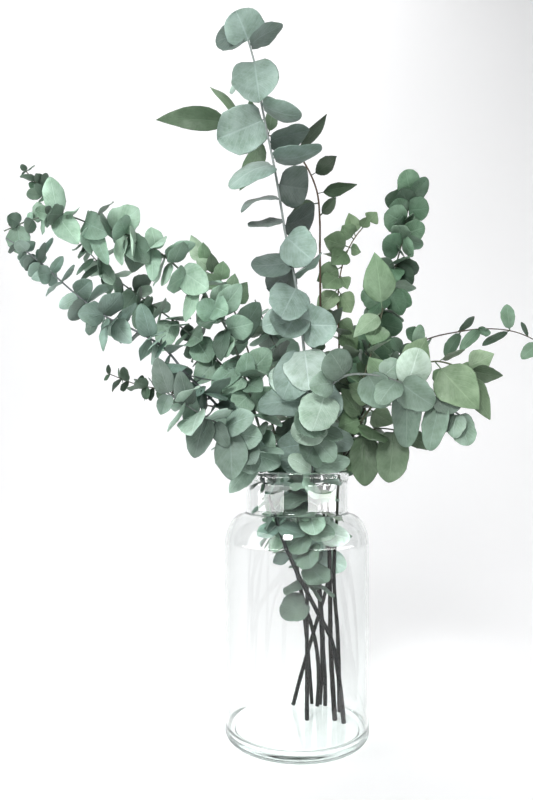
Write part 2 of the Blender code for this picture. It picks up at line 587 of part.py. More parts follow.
def rule_leaf(shoot, root, frame, angle, opening, roll, size, draw):
    """A leaf that follows its species' habit, set round the stem by the angle."""
    species = SPECIES[shoot.species]
    tangent, side, up = frame
    outward = side * math.cos(math.radians(angle)) + up * math.sin(math.radians(angle))
    open_by = math.radians(opening)
    along = tangent * math.cos(open_by) + outward * math.sin(open_by)
    along = (along - Vector((0, 0, species.droop * draw["droop"]))).normalized()
    normal = tangent - along * tangent.dot(along)
    if normal.length < 0.1:
        normal = outward - along * outward.dot(along)
    normal = turned(normal.normalized(), along, roll)
    scale = shoot.size * size
    return Leaf(shoot.name, species, root, along, normal, species.length * scale, species.width * scale,
                draw["arch"], draw["cup"])


TURNS = ((0, 1, 0), (6, 1, 0), (-6, 1, 0), (0, 1, 5), (0, 1, -5), (14, 1, 0), (-14, 1, 0),
         (0, 1, 12), (0, 1, -12), (28, 1, 8), (-28, 1, -8),
         (0, .88, 0), (20, .88, 12), (-20, .88, -12), (45, .88, 0), (-45, .88, 0), (0, .76, 20),
         (0, .76, -20), (35, .76, 15), (-35, .76, -15))
SWINGS = tuple((angle, opening, size) for size in (1.0, 0.86, 0.72)
               for angle, opening in ((0, 0), (18, 0), (-18, 0), (0, 14), (0, -16), (36, 6), (-36, 6),
                                      (54, -10), (-54, -10), (75, 0), (-75, 0)))


def form_draw(rng):
    return {"arch": rng.uniform(-0.05, 0.13), "cup": rng.uniform(-0.20, 0.28),
            "droop": rng.uniform(0.3, 1.8)}


def placed_leaves(lines, crowd):
    """Every leaf of every tree, single ones first, each kept only where it is clear of the rest."""
    leaves = {s.tree: [] for s in SHOOTS}
    shoots = {s.name: s for s in SHOOTS}
    rng = random.Random(5)
    for row in SINGLE_LEAVES:
        shoot = shoots[row[0]]
        leaf = clear_leaf(row, shoot, lines[shoot.name], form_draw(rng), crowd)
        if leaf:
            leaves[shoot.tree].append(leaf)
    for shoot in SHOOTS:
        leaves[shoot.tree] += rule_leaves(shoot, lines[shoot.name], crowd, SPECIES[shoot.species].spacing)
    return leaves


def clear_leaf(row, shoot, line, draw, crowd):
    """The single leaf in the first of its poses that is clear of all others, or None."""
    for turn, shrink, lean in TURNS:
        leaf = single_leaf(row, shoot, line, draw, turn, shrink, lean)
        if crowd.free(shoot.tree, leaf):
            crowd.add(shoot.tree, leaf)
            return leaf
    return None


TIP_SHARE = 0.14


def rule_leaves(shoot, line, crowd, spacing):
    """Leaves in turned pairs, or one by one round the stem, over the leafy share of a shoot."""
    rng = random.Random(shoot.seed)
    species = SPECIES[shoot.species]
    frames = frames_along(line)
    total = (len(line) - 1) * FINE_STEP
    position = shoot.leafy[0] * total
    end = shoot.leafy[1] * total
    spin = rng.uniform(0, 360)
    kept = []
    while position <= end:
        i = min(len(line) - 2, int(position / FINE_STEP))
        to_tip = (total - position) / total
        young = min(1.0, 0.45 + 0.55 * to_tip / TIP_SHARE)
        angles = (spin, spin + 180) if species.pair else (spin,)
        for k, angle in enumerate(angles):
            draw = form_draw(rng)
            opening = species.open_angle * (0.65 + 0.35 * young) + rng.uniform(-12, 12)
            size = young * rng.uniform(0.86, 1.12)
            roll = rng.uniform(-48, 48)
            jitter = rng.uniform(-16, 16)
            root = Vector(line[i]) + frames[i][0] * (0.0008 * k)
            for swing, wider, smaller in SWINGS:
                leaf = rule_leaf(shoot, root, frames[i], angle + jitter + swing, opening + wider,
                                 roll, size * smaller, draw)
                if crowd.free(shoot.tree, leaf):
                    crowd.add(shoot.tree, leaf)
                    kept.append(leaf)
                    break
        spin += 90 if species.pair else 137.5
        position += spacing * shoot.size * (0.55 + 0.45 * young)
    return kept


def bottle_profile():
    """Outline of the glass from the middle of the foot, up the outside, over the lip and down inside."""
    outer = [(0.0, 0.0), (BODY_RADIUS - FOOT_ROUND, 0.0)]
    outer += arc(BODY_RADIUS - FOOT_ROUND, FOOT_ROUND, FOOT_ROUND, -60, 0, 3)
    shoulder = SHOULDER_TOP - SHOULDER_BOTTOM
    for k in range(5):
        turn = math.radians(90 * k / 4)
        outer.append((NECK_RADIUS + (BODY_RADIUS - NECK_RADIUS) * math.cos(turn) ** 0.9,
                      SHOULDER_BOTTOM + shoulder * math.sin(turn) ** 1.2))
    outer += [(NECK_RADIUS, BOTTLE_HEIGHT - 0.014), (LIP_RADIUS, BOTTLE_HEIGHT - 0.005)]
    outer += [(LIP_RADIUS - 0.0010, BOTTLE_HEIGHT - 0.001), (LIP_RADIUS - 0.0028, BOTTLE_HEIGHT)]
    inner = [(LIP_RADIUS - 0.0048, BOTTLE_HEIGHT - 0.002),
             (NECK_RADIUS - GLASS_WALL, BOTTLE_HEIGHT - 0.014),
             (NECK_RADIUS - GLASS_WALL, SHOULDER_TOP)]
    for k in range(1, 5):
        turn = math.radians(90 * (4 - k) / 4)
        inner.append((NECK_RADIUS - GLASS_WALL + (BODY_RADIUS - NECK_RADIUS) * math.cos(turn) ** 0.9,
                      SHOULDER_BOTTOM - GLASS_WALL * 0.4 + shoulder * math.sin(turn) ** 1.2))
    inner += reversed(arc(BODY_RADIUS - GLASS_WALL - FOOT_ROUND, GLASS_FLOOR + FOOT_ROUND, FOOT_ROUND,
                          -90, 0, 3))
    inner.append((0.0, GLASS_FLOOR))
    return outer + inner


def arc(centre_x, centre_z, radius, start, end, steps):
    angles = [math.radians(start + (end - start) * k / steps) for k in range(steps + 1)]
    return [(centre_x + radius * math.cos(a), centre_z + radius * math.sin(a)) for a in angles]


def turned_solid(profile, sides):
    """(points, faces) of the profile turned round Z. Its first and last points lie on the axis."""
    points = [Vector((0, 0, profile[0][1]))]
    ring = profile[1:-1]
    for radius, z in ring:
        for k in range(sides):
            angle = 2 * math.pi * k / sides
            points.append(Vector((radius * math.cos(angle), radius * math.sin(angle), z)))
    points.append(Vector((0, 0, profile[-1][1])))
    faces = []
    for k in range(sides):
        n = (k + 1) % sides
        faces.append((0, 1 + n, 1 + k))
        for r in range(len(ring) - 1):
            a = 1 + r * sides
            faces.append((a + k, a + n, a + sides + n, a + sides + k))
        a = 1 + (len(ring) - 1) * sides
        faces.append((a + k, a + n, len(points) - 1))
    return points, faces


def material(name, colour, roughness):
    made = bpy.data.materials.new(name)
    made.use_nodes = True
    shader = made.node_tree.nodes["Principled BSDF"]
    shader.inputs["Base Color"].default_value = (*colour, 1)
    shader.inputs["Roughness"].default_value = roughness
    shader.inputs["Metallic"].default_value = 0.0
    return made


def add_object(name, points, faces, collection=None):
    mesh = bpy.data.meshes.new(name)
    mesh.from_pydata([tuple(p) for p in points], [], faces)
    mesh.validate()
    made = bpy.data.objects.new(name, mesh)
    (collection or bpy.context.scene.collection).objects.link(made)
    return made


def fused(name, shapes):
    """One solid from a stem and everything that grows on it, by one union with a collection."""
    base = add_object(name, *shapes[0])
    group = bpy.data.collections.new(name + "_parts")
    bpy.context.scene.collection.children.link(group)
    for k, shape in enumerate(shapes[1:]):
        add_object(f"{name}_{k}", *shape, group)
    union = base.modifiers.new("grow", "BOOLEAN")
    union.operation = "UNION"
    union.operand_type = "COLLECTION"
    union.collection = group
    union.solver = "MANIFOLD"
    bpy.context.view_layer.update()
    graph = bpy.context.evaluated_depsgraph_get()
    mesh = bpy.data.meshes.new_from_object(base.evaluated_get(graph))
    base.modifiers.clear()
    base.data = mesh
    mesh.name = name
    for part in list(group.objects):
        bpy.data.objects.remove(part)
    bpy.data.collections.remove(group)
    return base


def coarse_tube(route):
    """The stem of a shoot with few faces. A main stem's foot stands just clear of the glass floor."""
    few = route.knots.copy()
    radii = radii_along(route.shoot, len(few))
    if route.shoot.route[0][1] > MAIN_STEM_PX:
        tangent = Vector(few[1] - few[0]).normalized()
        few[0, 2] = GLASS_FLOOR + SEAT_GAP + radii[0] * math.sqrt(1 - tangent.z ** 2)
    return tube(few, radii, STEM_SIDES)


def build():
    for old in list(bpy.data.objects):
        bpy.data.objects.remove(old)
    glass = material("clear_glass", COLOURS["glass"], 0.04)
    silver = material("silver_leaf", COLOURS["silver"], 0.55)
    green = material("green_leaf", COLOURS["green"], 0.50)

    profile = turned_solid(bottle_profile(), BOTTLE_SIDES)
    bottle = add_object("glass_bottle", *profile)
    bottle.data.materials.append(glass)
    bottle.data.shade_smooth()
    bottle.data.set_sharp_from_angle(angle=math.radians(40))

    routes = pushed_apart()
    lines = {name: route.points() for name, route in routes.items()}
    coarse = {name: coarse_tube(route) for name, route in routes.items()}
    crowd = Crowd(lines, coarse, profile)
    leaves = placed_leaves(lines, crowd)
    for tree, blades in leaves.items():
        stems = [coarse[s.name] for s in SHOOTS if s.tree == tree]
        made = fused(tree, stems + [blade(leaf) for leaf in blades])
        made.data.materials.append(green if tree in GREEN_TREES else silver)
        print(tree, "leaves", len(blades), "triangles", sum(len(p.vertices) - 2 for p in made.data.polygons))


build()
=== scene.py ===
"""The look of mixed eucalyptus branches in a clear glass bottle, on a white floor.

Metres, +Z up, origin at the middle of the bottle's foot. The front view looks along +Y.
The stems and the larger leaves stand where the solids have them. Small leaves fill the gaps.
"""

import json
import math
import random
from dataclasses import dataclass, replace

import bpy
import numpy as np
from mathutils import Matrix, Vector
from mathutils.bvhtree import BVHTree

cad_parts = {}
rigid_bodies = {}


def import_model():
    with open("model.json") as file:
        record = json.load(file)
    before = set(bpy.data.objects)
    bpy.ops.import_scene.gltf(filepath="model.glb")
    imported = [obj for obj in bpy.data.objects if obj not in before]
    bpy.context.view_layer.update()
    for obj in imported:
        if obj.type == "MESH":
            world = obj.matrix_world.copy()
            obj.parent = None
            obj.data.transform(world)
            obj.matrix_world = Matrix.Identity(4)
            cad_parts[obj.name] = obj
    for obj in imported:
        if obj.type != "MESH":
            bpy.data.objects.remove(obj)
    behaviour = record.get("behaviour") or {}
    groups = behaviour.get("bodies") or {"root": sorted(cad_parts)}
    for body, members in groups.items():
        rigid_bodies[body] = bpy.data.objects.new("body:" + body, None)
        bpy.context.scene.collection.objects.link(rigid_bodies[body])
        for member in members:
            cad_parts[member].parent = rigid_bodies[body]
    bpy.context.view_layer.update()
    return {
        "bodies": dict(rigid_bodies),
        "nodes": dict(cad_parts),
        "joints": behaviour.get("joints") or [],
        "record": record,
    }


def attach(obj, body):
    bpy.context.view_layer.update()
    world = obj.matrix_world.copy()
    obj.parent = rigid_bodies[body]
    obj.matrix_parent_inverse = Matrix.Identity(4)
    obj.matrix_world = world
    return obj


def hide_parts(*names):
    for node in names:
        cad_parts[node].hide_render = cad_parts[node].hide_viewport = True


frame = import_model()

# Glass bottle
BOTTLE_HEIGHT = 0.310
BODY_RADIUS = 0.085
NECK_RADIUS = 0.0598
LIP_RADIUS = 0.0612
GLASS_WALL = 0.0038
GLASS_FLOOR = 0.0100
FOOT_ROUND = 0.0080
SHOULDER_BOTTOM = 0.228
SHOULDER_TOP = 0.262
INNER_DROP = GLASS_WALL * 0.4
INNER_SHOULDER_BOTTOM = SHOULDER_BOTTOM - INNER_DROP
SHOULDER_OUT_POWER = 0.9
SHOULDER_UP_POWER = 1.2
FLARE_START = BOTTLE_HEIGHT - 0.014
# The solid's lip, over its top and inwards: (in from the lip's radius, down from the top)
LIP = ((0, 0.005), (0.0010, 0.001), (0.0028, 0), (0.0048, 0.002))
BOTTLE_SIDES = 32

# Stems and blades
BLADE_THICKNESS = 0.0008
PETIOLE_HALF_WIDTH = 0.0007
STEM_SIDES = 5
STEM_STEP = 0.036
CLEARANCE = 0.0006
STEM_CLEARANCE = 0.0022
SEAT_GAP = 0.0003
FINE_STEP = 0.005
# Only main stems start as low as this in the view
MAIN_STEM_PX = 600

# Front view that the routes and the single leaves are read from: the eye's place in metres,
# its focal length in pixels, and the pixel that it looks straight at.
EYE = Vector((-0.036, -0.749, 0.322))
VIEW_FOCAL_PX = 630.0
VIEW_CENTRE_PX = (266.5, 462.0)


@dataclass(frozen=True)
class Species:
    """Leaf habit: sizes in metres, angles in degrees. The two powers set how blunt each end is."""

    length: float
    width: float
    base_power: float
    tip_power: float
    petiole: float
    spacing: float
    pair: bool
    open_angle: float
    droop: float


SPECIES = {
    "silver_dollar": Species(0.042, 0.043, 0.34, 0.62, 0.05, 0.110, True, 84, 0.55),
    "silver_ovate": Species(0.041, 0.036, 0.38, 0.84, 0.07, 0.110, True, 80, 0.55),
    "round_green": Species(0.034, 0.034, 0.38, 0.70, 0.06, 0.066, True, 74, 0.35),
    "small_dark": Species(0.019, 0.014, 0.50, 0.70, 0.08, 0.032, True, 60, 0.10),
    "small_oval": Species(0.026, 0.016, 0.55, 0.80, 0.10, 0.048, True, 62, 0.10),
    "broad_pointed": Species(0.056, 0.036, 0.42, 0.95, 0.20, 0.040, False, 66, 0.45),
    "narrow_pointed": Species(0.044, 0.020, 0.55, 1.00, 0.18, 0.040, False, 58, 0.20),
}


@dataclass(frozen=True)
class Shoot:
    """One stem or fork. Its route is (view x px, view y px, depth m); leafy is the leafed share of it."""

    tree: str
    name: str
    species: str
    route: tuple
    radii: tuple
    leafy: tuple
    seed: int
    size: float = 1.0


SHOOTS = (
    Shoot("tall_silver_stem", "tall", "silver_dollar",
          ((327, 705, .060), (323, 640, .048), (319, 570, .030), (314, 490, .004), (311, 430, -.020),
           (304, 350, -.045), (296, 285, -.055), (286, 237, -.060), (276, 176, -.065),
           (262, 107, -.075), (253, 55, -.080), (245, 30, -.083)),
          (.0024, .0010), (.27, .44), 11),
    Shoot("brown_stem", "brown", "narrow_pointed",
          ((335, 720, .011), (331, 650, .012), (330, 580, .010), (328, 500, .012), (325, 430, .020),
           (321, 340, .030), (320, 260, .035), (319, 205, .035), (312, 176, .035), (302, 160, .035),
           (289, 144, .040), (262, 133, .045), (236, 123, .045)),
          (.0028, .0008), (.38, .62), 12),
    Shoot("brown_stem", "brown_fork", "broad_pointed",
          ((325, 430, .020), (335, 390, .038), (339, 350, .047), (338, 310, .052), (340, 275, .056),
           (350, 245, .060), (362, 230, .060), (374, 216, .060)),
          (.0015, .0007), (.10, .50), 13, .62),
    Shoot("right_stem", "right_column", "round_green",
          ((293, 705, .060), (304, 664, .055), (313, 636, .050), (324, 600, .045), (333, 555, .040),
           (338, 500, .036), (345, 440, .045), (357, 385, .058), (374, 330, .068), (390, 285, .072),
           (400, 250, .072), (405, 224, .072), (410, 204, .072), (411, 192, .072)),
          (.0024, .0009), (.33, .97), 14),
    Shoot("right_stem", "right_low", "round_green",
          ((338, 500, .036), (343, 470, .016), (354, 445, -.010), (372, 430, -.030), (392, 428, -.040),
           (408, 432, -.045)),
          (.0014, .0008), (.15, .90), 15, 1.15),
    Shoot("pointed_stem", "pointed", "broad_pointed",
          ((340, 712, .037), (339, 658, .033), (337, 616, .028), (334, 580, .022), (337, 520, .008),
           (346, 450, -.004), (360, 390, -.012), (374, 345, -.012), (383, 308, -.012)),
          (.0026, .0010), (.42, .95), 16),
    Shoot("pointed_stem", "pointed_right", "broad_pointed",
          ((346, 450, -.004), (362, 420, -.025), (388, 388, -.052), (415, 368, -.066),
           (440, 361, -.078), (468, 370, -.086)),
          (.0016, .0008), (.12, .60), 17),
    Shoot("pointed_stem", "thin_right", "small_oval",
          ((346, 450, -.004), (364, 410, .008), (386, 372, .018), (410, 347, .022), (442, 335, .022),
           (482, 329, .022), (507, 330, .022), (530, 337, .022), (543, 344, .022)),
          (.0013, .0006), (.15, .52), 18),
    Shoot("front_stem", "front", "silver_dollar",
          ((307, 720, .012), (307, 650, .008), (307, 600, .002), (308, 540, -.010), (311, 480, -.026),
           (317, 425, -.045), (326, 390, -.062), (345, 376, -.074), (368, 374, -.080),
           (396, 381, -.082), (428, 396, -.080), (452, 408, -.076), (464, 418, -.074)),
          (.0024, .0009), (.30, .72), 19, .90),
    Shoot("left_upper_stem", "left_upper", "silver_ovate",
          ((318, 706, .057), (319, 676, .052), (317, 650, .046), (311, 623, .038), (303, 598, .030),
           (294, 560, .022), (285, 520, .012), (276, 485, .006), (266, 450, .000), (251, 400, -.008),
           (236, 350, -.014), (218, 314, -.020), (200, 290, -.024), (178, 268, -.026),
           (150, 246, -.028), (120, 232, -.030), (90, 224, -.030), (57, 214, -.030),
           (28, 221, -.030), (4, 231, -.030)),
          (.0024, .0007), (.30, .99), 20, .88),
    Shoot("left_upper_stem", "left_tip", "small_dark",
          ((57, 214, -.030), (46, 198, -.026), (40, 186, -.024), (31, 174, -.024), (24, 169, -.024)),
          (.0008, .0005), (.10, .99), 21, .95),
    Shoot("left_upper_stem", "left_middle", "silver_ovate",
          ((251, 400, -.008), (228, 372, .014), (202, 345, .026), (170, 318, .032), (142, 298, .034),
           (114, 277, .034), (98, 262, .034), (87, 250, .034), (78, 238, .034)),
          (.0014, .0007), (.10, .98), 22, .80),
    Shoot("left_lower_stem", "left_lower", "silver_ovate",
          ((344, 723, .003), (340, 686, .000), (333, 645, -.006), (324, 624, -.010), (312, 602, -.014),
           (297, 572, -.018), (285, 545, -.020), (273, 510, -.020), (263, 476, -.018),
           (246, 444, -.018), (220, 408, -.024), (190, 378, -.034), (163, 347, -.042),
           (132, 329, -.046), (103, 315, -.048), (73, 292, -.048), (53, 274, -.048),
           (30, 254, -.048), (6, 238, -.048)),
          (.0026, .0007), (.36, .99), 23, .78),
    Shoot("left_lower_stem", "dark_twig", "small_dark",
          ((220, 408, -.024), (202, 404, -.006), (182, 399, .004), (168, 391, .008), (150, 385, .010),
           (131, 384, .010), (117, 379, .010), (107, 373, .010)),
          (.0010, .0005), (.20, .99), 24, 1.1),
    Shoot("left_lower_stem", "left_front", "silver_ovate",
          ((263, 476, -.018), (250, 452, -.048), (236, 436, -.068), (220, 425, -.080),
           (205, 417, -.086), (186, 405, -.088), (166, 392, -.088)),
          (.0014, .0008), (.25, .90), 25, .92),
    Shoot("back_pointed_stem", "back_pointed", "broad_pointed",
          ((312, 702, .064), (308, 650, .060), (302, 600, .054), (295, 550, .046), (288, 490, .040),
           (274, 430, .056), (254, 370, .074), (236, 315, .084), (218, 282, .090), (204, 262, .092)),
          (.0022, .0009), (.34, .98), 26, .80),
    Shoot("back_stem", "back_left", "silver_dollar",
          ((322, 700, .066), (322, 640, .062), (318, 580, .056), (314, 520, .046), (308, 470, .044),
           (300, 420, .070), (288, 375, .105), (270, 335, .140), (255, 300, .165)),
          (.0023, .0009), (.36, .98), 27, .95),
    Shoot("back_stem", "back_right", "round_green",
          ((308, 470, .044), (322, 430, .075), (342, 395, .110), (366, 365, .140), (388, 340, .165)),
          (.0014, .0008), (.10, .97), 28, 1.10),
)

# Single leaves read from the front view, a run of them for each shoot. A leaf is (base px, base py,
# tip px, tip py, tip nearer the eye by mm, width mm, roll in degrees from facing the eye).
SINGLE_LEAVES = (
    ("tall", ((247, 40, 236, 8, 16, 44, 0), (244, 33, 214, 39, -6, 28, 30), (250, 46, 283, 25, 6, 34, 58),
     (252, 57, 259, 100, 13, 50, 0), (251, 66, 229, 92, -20, 22, 70), (262, 105, 301, 114, 8, 36, 55),
     (266, 119, 216, 139, 20, 47, 0), (270, 142, 310, 130, -4, 34, 50), (272, 157, 322, 147, 10, 40, 62),
     (274, 167, 229, 189, 6, 40, 60), (277, 186, 308, 189, -22, 44, 8), (280, 201, 240, 209, 4, 34, 82),
     (284, 221, 248, 226, -6, 30, 74), (284, 228, 314, 214, -20, 38, 35), (287, 238, 312, 260, 20, 44, 8),
     (292, 262, 251, 267, 6, 36, 45), (294, 270, 267, 288, -22, 40, 18), (296, 276, 323, 255, 8, 34, 78),
     (297, 288, 280, 314, 28, 48, 4), (299, 306, 281, 336, 10, 46, 6), (301, 322, 337, 324, 22, 46, 12),
     (304, 350, 311, 390, 14, 50, 0))),
    ("front", ((410, 387, 421, 349, 22, 36, 0), (394, 380, 378, 406, 20, 28, 15),
     (398, 382, 434, 405, 0, 36, 10), (325, 392, 316, 431, 20, 46, 0), (317, 420, 299, 444, 14, 40, 5),
     (312, 474, 288, 459, 16, 24, 20), (314, 440, 334, 463, 12, 28, 15))),
    ("tall", ((304, 357, 281, 400, 2, 46, 8), (309, 394, 342, 412, 14, 46, 5),
     (312, 436, 314, 468, 10, 30, 78))),
    ("front", ((314, 464, 350, 459, 6, 26, 30),)),
    ("tall", ((306, 372, 344, 362, -12, 36, 15), (307, 386, 270, 372, -14, 40, 15),
     (309, 404, 258, 404, -10, 38, 20), (312, 430, 352, 442, -14, 36, 20),
     (313, 442, 276, 446, -10, 38, 15), (299, 320, 262, 330, -16, 36, 20))),
    ("brown", ((312, 175, 337, 158, 4, 21, 20), (320, 197, 357, 187, 6, 17, 25),
     (320, 214, 336, 197, 2, 18, 30), (317, 204, 290, 213, -4, 16, 30), (299, 145, 328, 118, 4, 18, 35),
     (266, 136, 243, 193, -8, 27, 20), (238, 124, 156, 116, 6, 27, 8), (244, 123, 210, 84, 2, 20, 55),
     (254, 127, 250, 97, -10, 14, 30), (270, 135, 273, 106, -8, 17, 20))),
    ("brown_fork", ((369, 222, 378, 211, 8, 20, 10), (358, 236, 349, 213, 2, 21, 5),
     (352, 246, 325, 239, 4, 31, 10), (350, 245, 362, 251, 10, 16, 20), (344, 256, 320, 256, 0, 20, 25),
     (340, 266, 317, 280, 8, 30, 5), (339, 276, 350, 290, 8, 22, 20), (338, 286, 319, 311, 6, 28, 5),
     (337, 310, 318, 332, 6, 28, 10), (338, 330, 358, 346, 4, 28, 10))),
    ("right_column", ((410, 195, 404, 171, 9, 32, 10), (408, 204, 385, 197, 0, 28, 15),
     (410, 200, 426, 180, 2, 30, 15), (408, 212, 429, 208, 6, 32, 10), (406, 222, 385, 212, 10, 34, 5),
     (405, 233, 425, 226, 6, 28, 10), (403, 236, 414, 256, 10, 18, 35), (401, 250, 383, 241, 8, 34, 5),
     (400, 256, 421, 252, -6, 26, 20), (397, 268, 413, 284, 6, 28, 15), (391, 296, 412, 304, 2, 26, 20))),
    ("pointed", ((383, 306, 377, 253, 4, 37, 0), (382, 312, 353, 337, 12, 24, 25),
     (380, 320, 370, 346, 10, 31, 0))),
    ("pointed_right", ((410, 372, 428, 336, -8, 30, 10), (376, 402, 348, 386, 2, 28, 15),
     (390, 387, 372, 356, -4, 28, 10), (364, 418, 340, 426, 10, 32, 10), (372, 408, 394, 424, 8, 28, 15),
     (437, 362, 477, 412, 16, 44, 0), (462, 367, 494, 354, 2, 25, 5), (466, 370, 501, 377, 0, 20, 15),
     (467, 371, 489, 420, 2, 25, 5), (440, 361, 467, 352, 2, 16, 65))),
    ("thin_right", ((508, 330, 507, 305, 0, 17, 10), (456, 333, 474, 317, 2, 13, 30),
     (477, 330, 490, 333, 12, 14, 40), (480, 329, 461, 351, 2, 15, 15), (460, 332, 443, 356, 2, 16, 15),
     (507, 331, 482, 346, 2, 13, 40), (538, 341, 520, 357, 2, 18, 10), (528, 336, 522, 322, 0, 9, 50),
     (430, 338, 441, 326, 2, 18, 10), (424, 341, 405, 331, 2, 18, 15))),
    ("front", ((332, 384, 312, 386, 12, 29, 5), (345, 376, 330, 352, 10, 40, 10),
     (366, 374, 387, 409, -4, 36, 8), (432, 398, 462, 405, 10, 28, 20), (456, 411, 466, 445, 6, 27, 5),
     (440, 402, 431, 452, -6, 28, 15), (408, 386, 408, 448, -22, 32, 10), (448, 406, 440, 437, 8, 21, 20),
     (462, 416, 478, 425, 8, 24, 10))),
    ("right_low", ((346, 460, 322, 448, 10, 34, 10), (350, 450, 377, 441, 12, 32, 8))),
    ("right_column", ((352, 400, 334, 428, 4, 36, 15), (366, 352, 392, 372, 6, 34, 15),
     (360, 374, 336, 352, 6, 34, 15), (384, 305, 362, 290, 4, 32, 15), (378, 322, 402, 330, 4, 32, 15))),
    ("right_low", ((366, 433, 364, 487, 6, 34, 5), (394, 428, 391, 484, 4, 38, 5),
     (404, 431, 431, 448, 2, 20, 25))),
    ("left_upper", ((57, 214, 51, 178, 4, 25, 0), (58, 214, 78, 247, 10, 29, 0),
     (50, 215, 27, 212, 10, 24, 25), (84, 223, 108, 235, 12, 32, 5), (114, 230, 140, 210, 10, 34, 5),
     (94, 224, 108, 266, -4, 21, 25), (131, 236, 149, 263, 10, 28, 5), (156, 250, 150, 228, 0, 24, 25),
     (152, 247, 153, 281, 8, 20, 20), (165, 257, 193, 241, 6, 20, 30), (181, 270, 208, 288, 12, 36, 5),
     (220, 316, 195, 306, 10, 30, 8), (217, 312, 242, 285, 8, 27, 10), (232, 340, 261, 303, -6, 32, 10),
     (196, 286, 184, 322, 8, 18, 30), (226, 330, 219, 361, 14, 22, 30), (240, 362, 213, 389, 8, 27, 10),
     (244, 378, 246, 352, 8, 25, 15), (249, 392, 234, 410, 20, 31, 0), (254, 410, 279, 388, 10, 34, 5),
     (20, 224, 8, 216, 8, 20, 20), (16, 226, 20, 256, 6, 26, 15), (260, 432, 268, 466, 14, 36, 10),
     (262, 440, 232, 436, 6, 32, 15), (244, 376, 272, 350, -10, 36, 15), (236, 350, 214, 336, 4, 24, 20),
     (226, 330, 252, 322, 10, 32, 15), (212, 306, 236, 290, -4, 30, 20), (270, 466, 296, 488, 8, 32, 15),
     (252, 402, 222, 396, -8, 30, 20))),
    ("left_middle", ((196, 340, 211, 362, 16, 33, 5), (216, 360, 196, 384, 8, 30, 15),
     (172, 320, 160, 350, 8, 30, 15), (146, 302, 138, 330, 8, 26, 15), (100, 264, 118, 286, 4, 20, 10),
     (92, 256, 76, 274, 4, 10, 50), (102, 266, 80, 282, 4, 10, 45))),
    ("left_lower", ((53, 274, 32, 279, 4, 14, 15), (54, 274, 64, 257, 2, 12, 20),
     (37, 260, 53, 238, 2, 12, 50), (78, 296, 57, 292, 4, 15, 30), (80, 298, 60, 308, 4, 17, 15),
     (76, 294, 92, 281, 4, 22, 10), (104, 315, 78, 312, 8, 28, 20), (108, 317, 105, 352, 4, 20, 62),
     (112, 320, 131, 341, 4, 24, 15), (148, 338, 140, 304, 4, 24, 15), (204, 392, 182, 398, 8, 28, 15),
     (222, 412, 248, 432, 8, 32, 15), (246, 446, 274, 462, 10, 32, 15), (184, 372, 166, 384, 6, 26, 20))),
    ("left_front", ((206, 417, 197, 459, 6, 30, 0), (230, 431, 233, 480, 6, 36, 0),
     (246, 446, 252, 476, 14, 27, 5), (256, 463, 231, 495, 8, 27, 10), (215, 422, 226, 447, 4, 20, 20),
     (168, 393, 156, 359, 4, 24, 0), (169, 393, 161, 415, 6, 17, 10), (188, 406, 182, 372, -4, 24, 20))),
    ("back_pointed", ((206, 266, 190, 236, -2, 24, 10), (205, 264, 203, 243, 4, 20, 20),
     (218, 284, 222, 260, 2, 24, 10), (230, 305, 248, 282, 0, 26, 15))),
    ("front", ((309, 500, 300, 521, 8, 30, 5),)),
    ("tall", ((317, 530, 353, 536, 12, 28, 15), (318, 556, 346, 568, 12, 30, 10))),
    ("front", ((308, 556, 292, 540, 4, 27, 5),)),
    ("left_upper", ((284, 516, 264, 490, 10, 32, 10),)),
    ("left_lower", ((280, 530, 262, 514, 6, 26, 15), (288, 552, 273, 562, 4, 16, 20))),
    ("front", ((307, 601, 281, 618, 10, 33, 0), (307, 626, 303, 642, 4, 11, 10))),
    ("pointed", ((336, 590, 322, 572, 4, 20, 20),)),
)

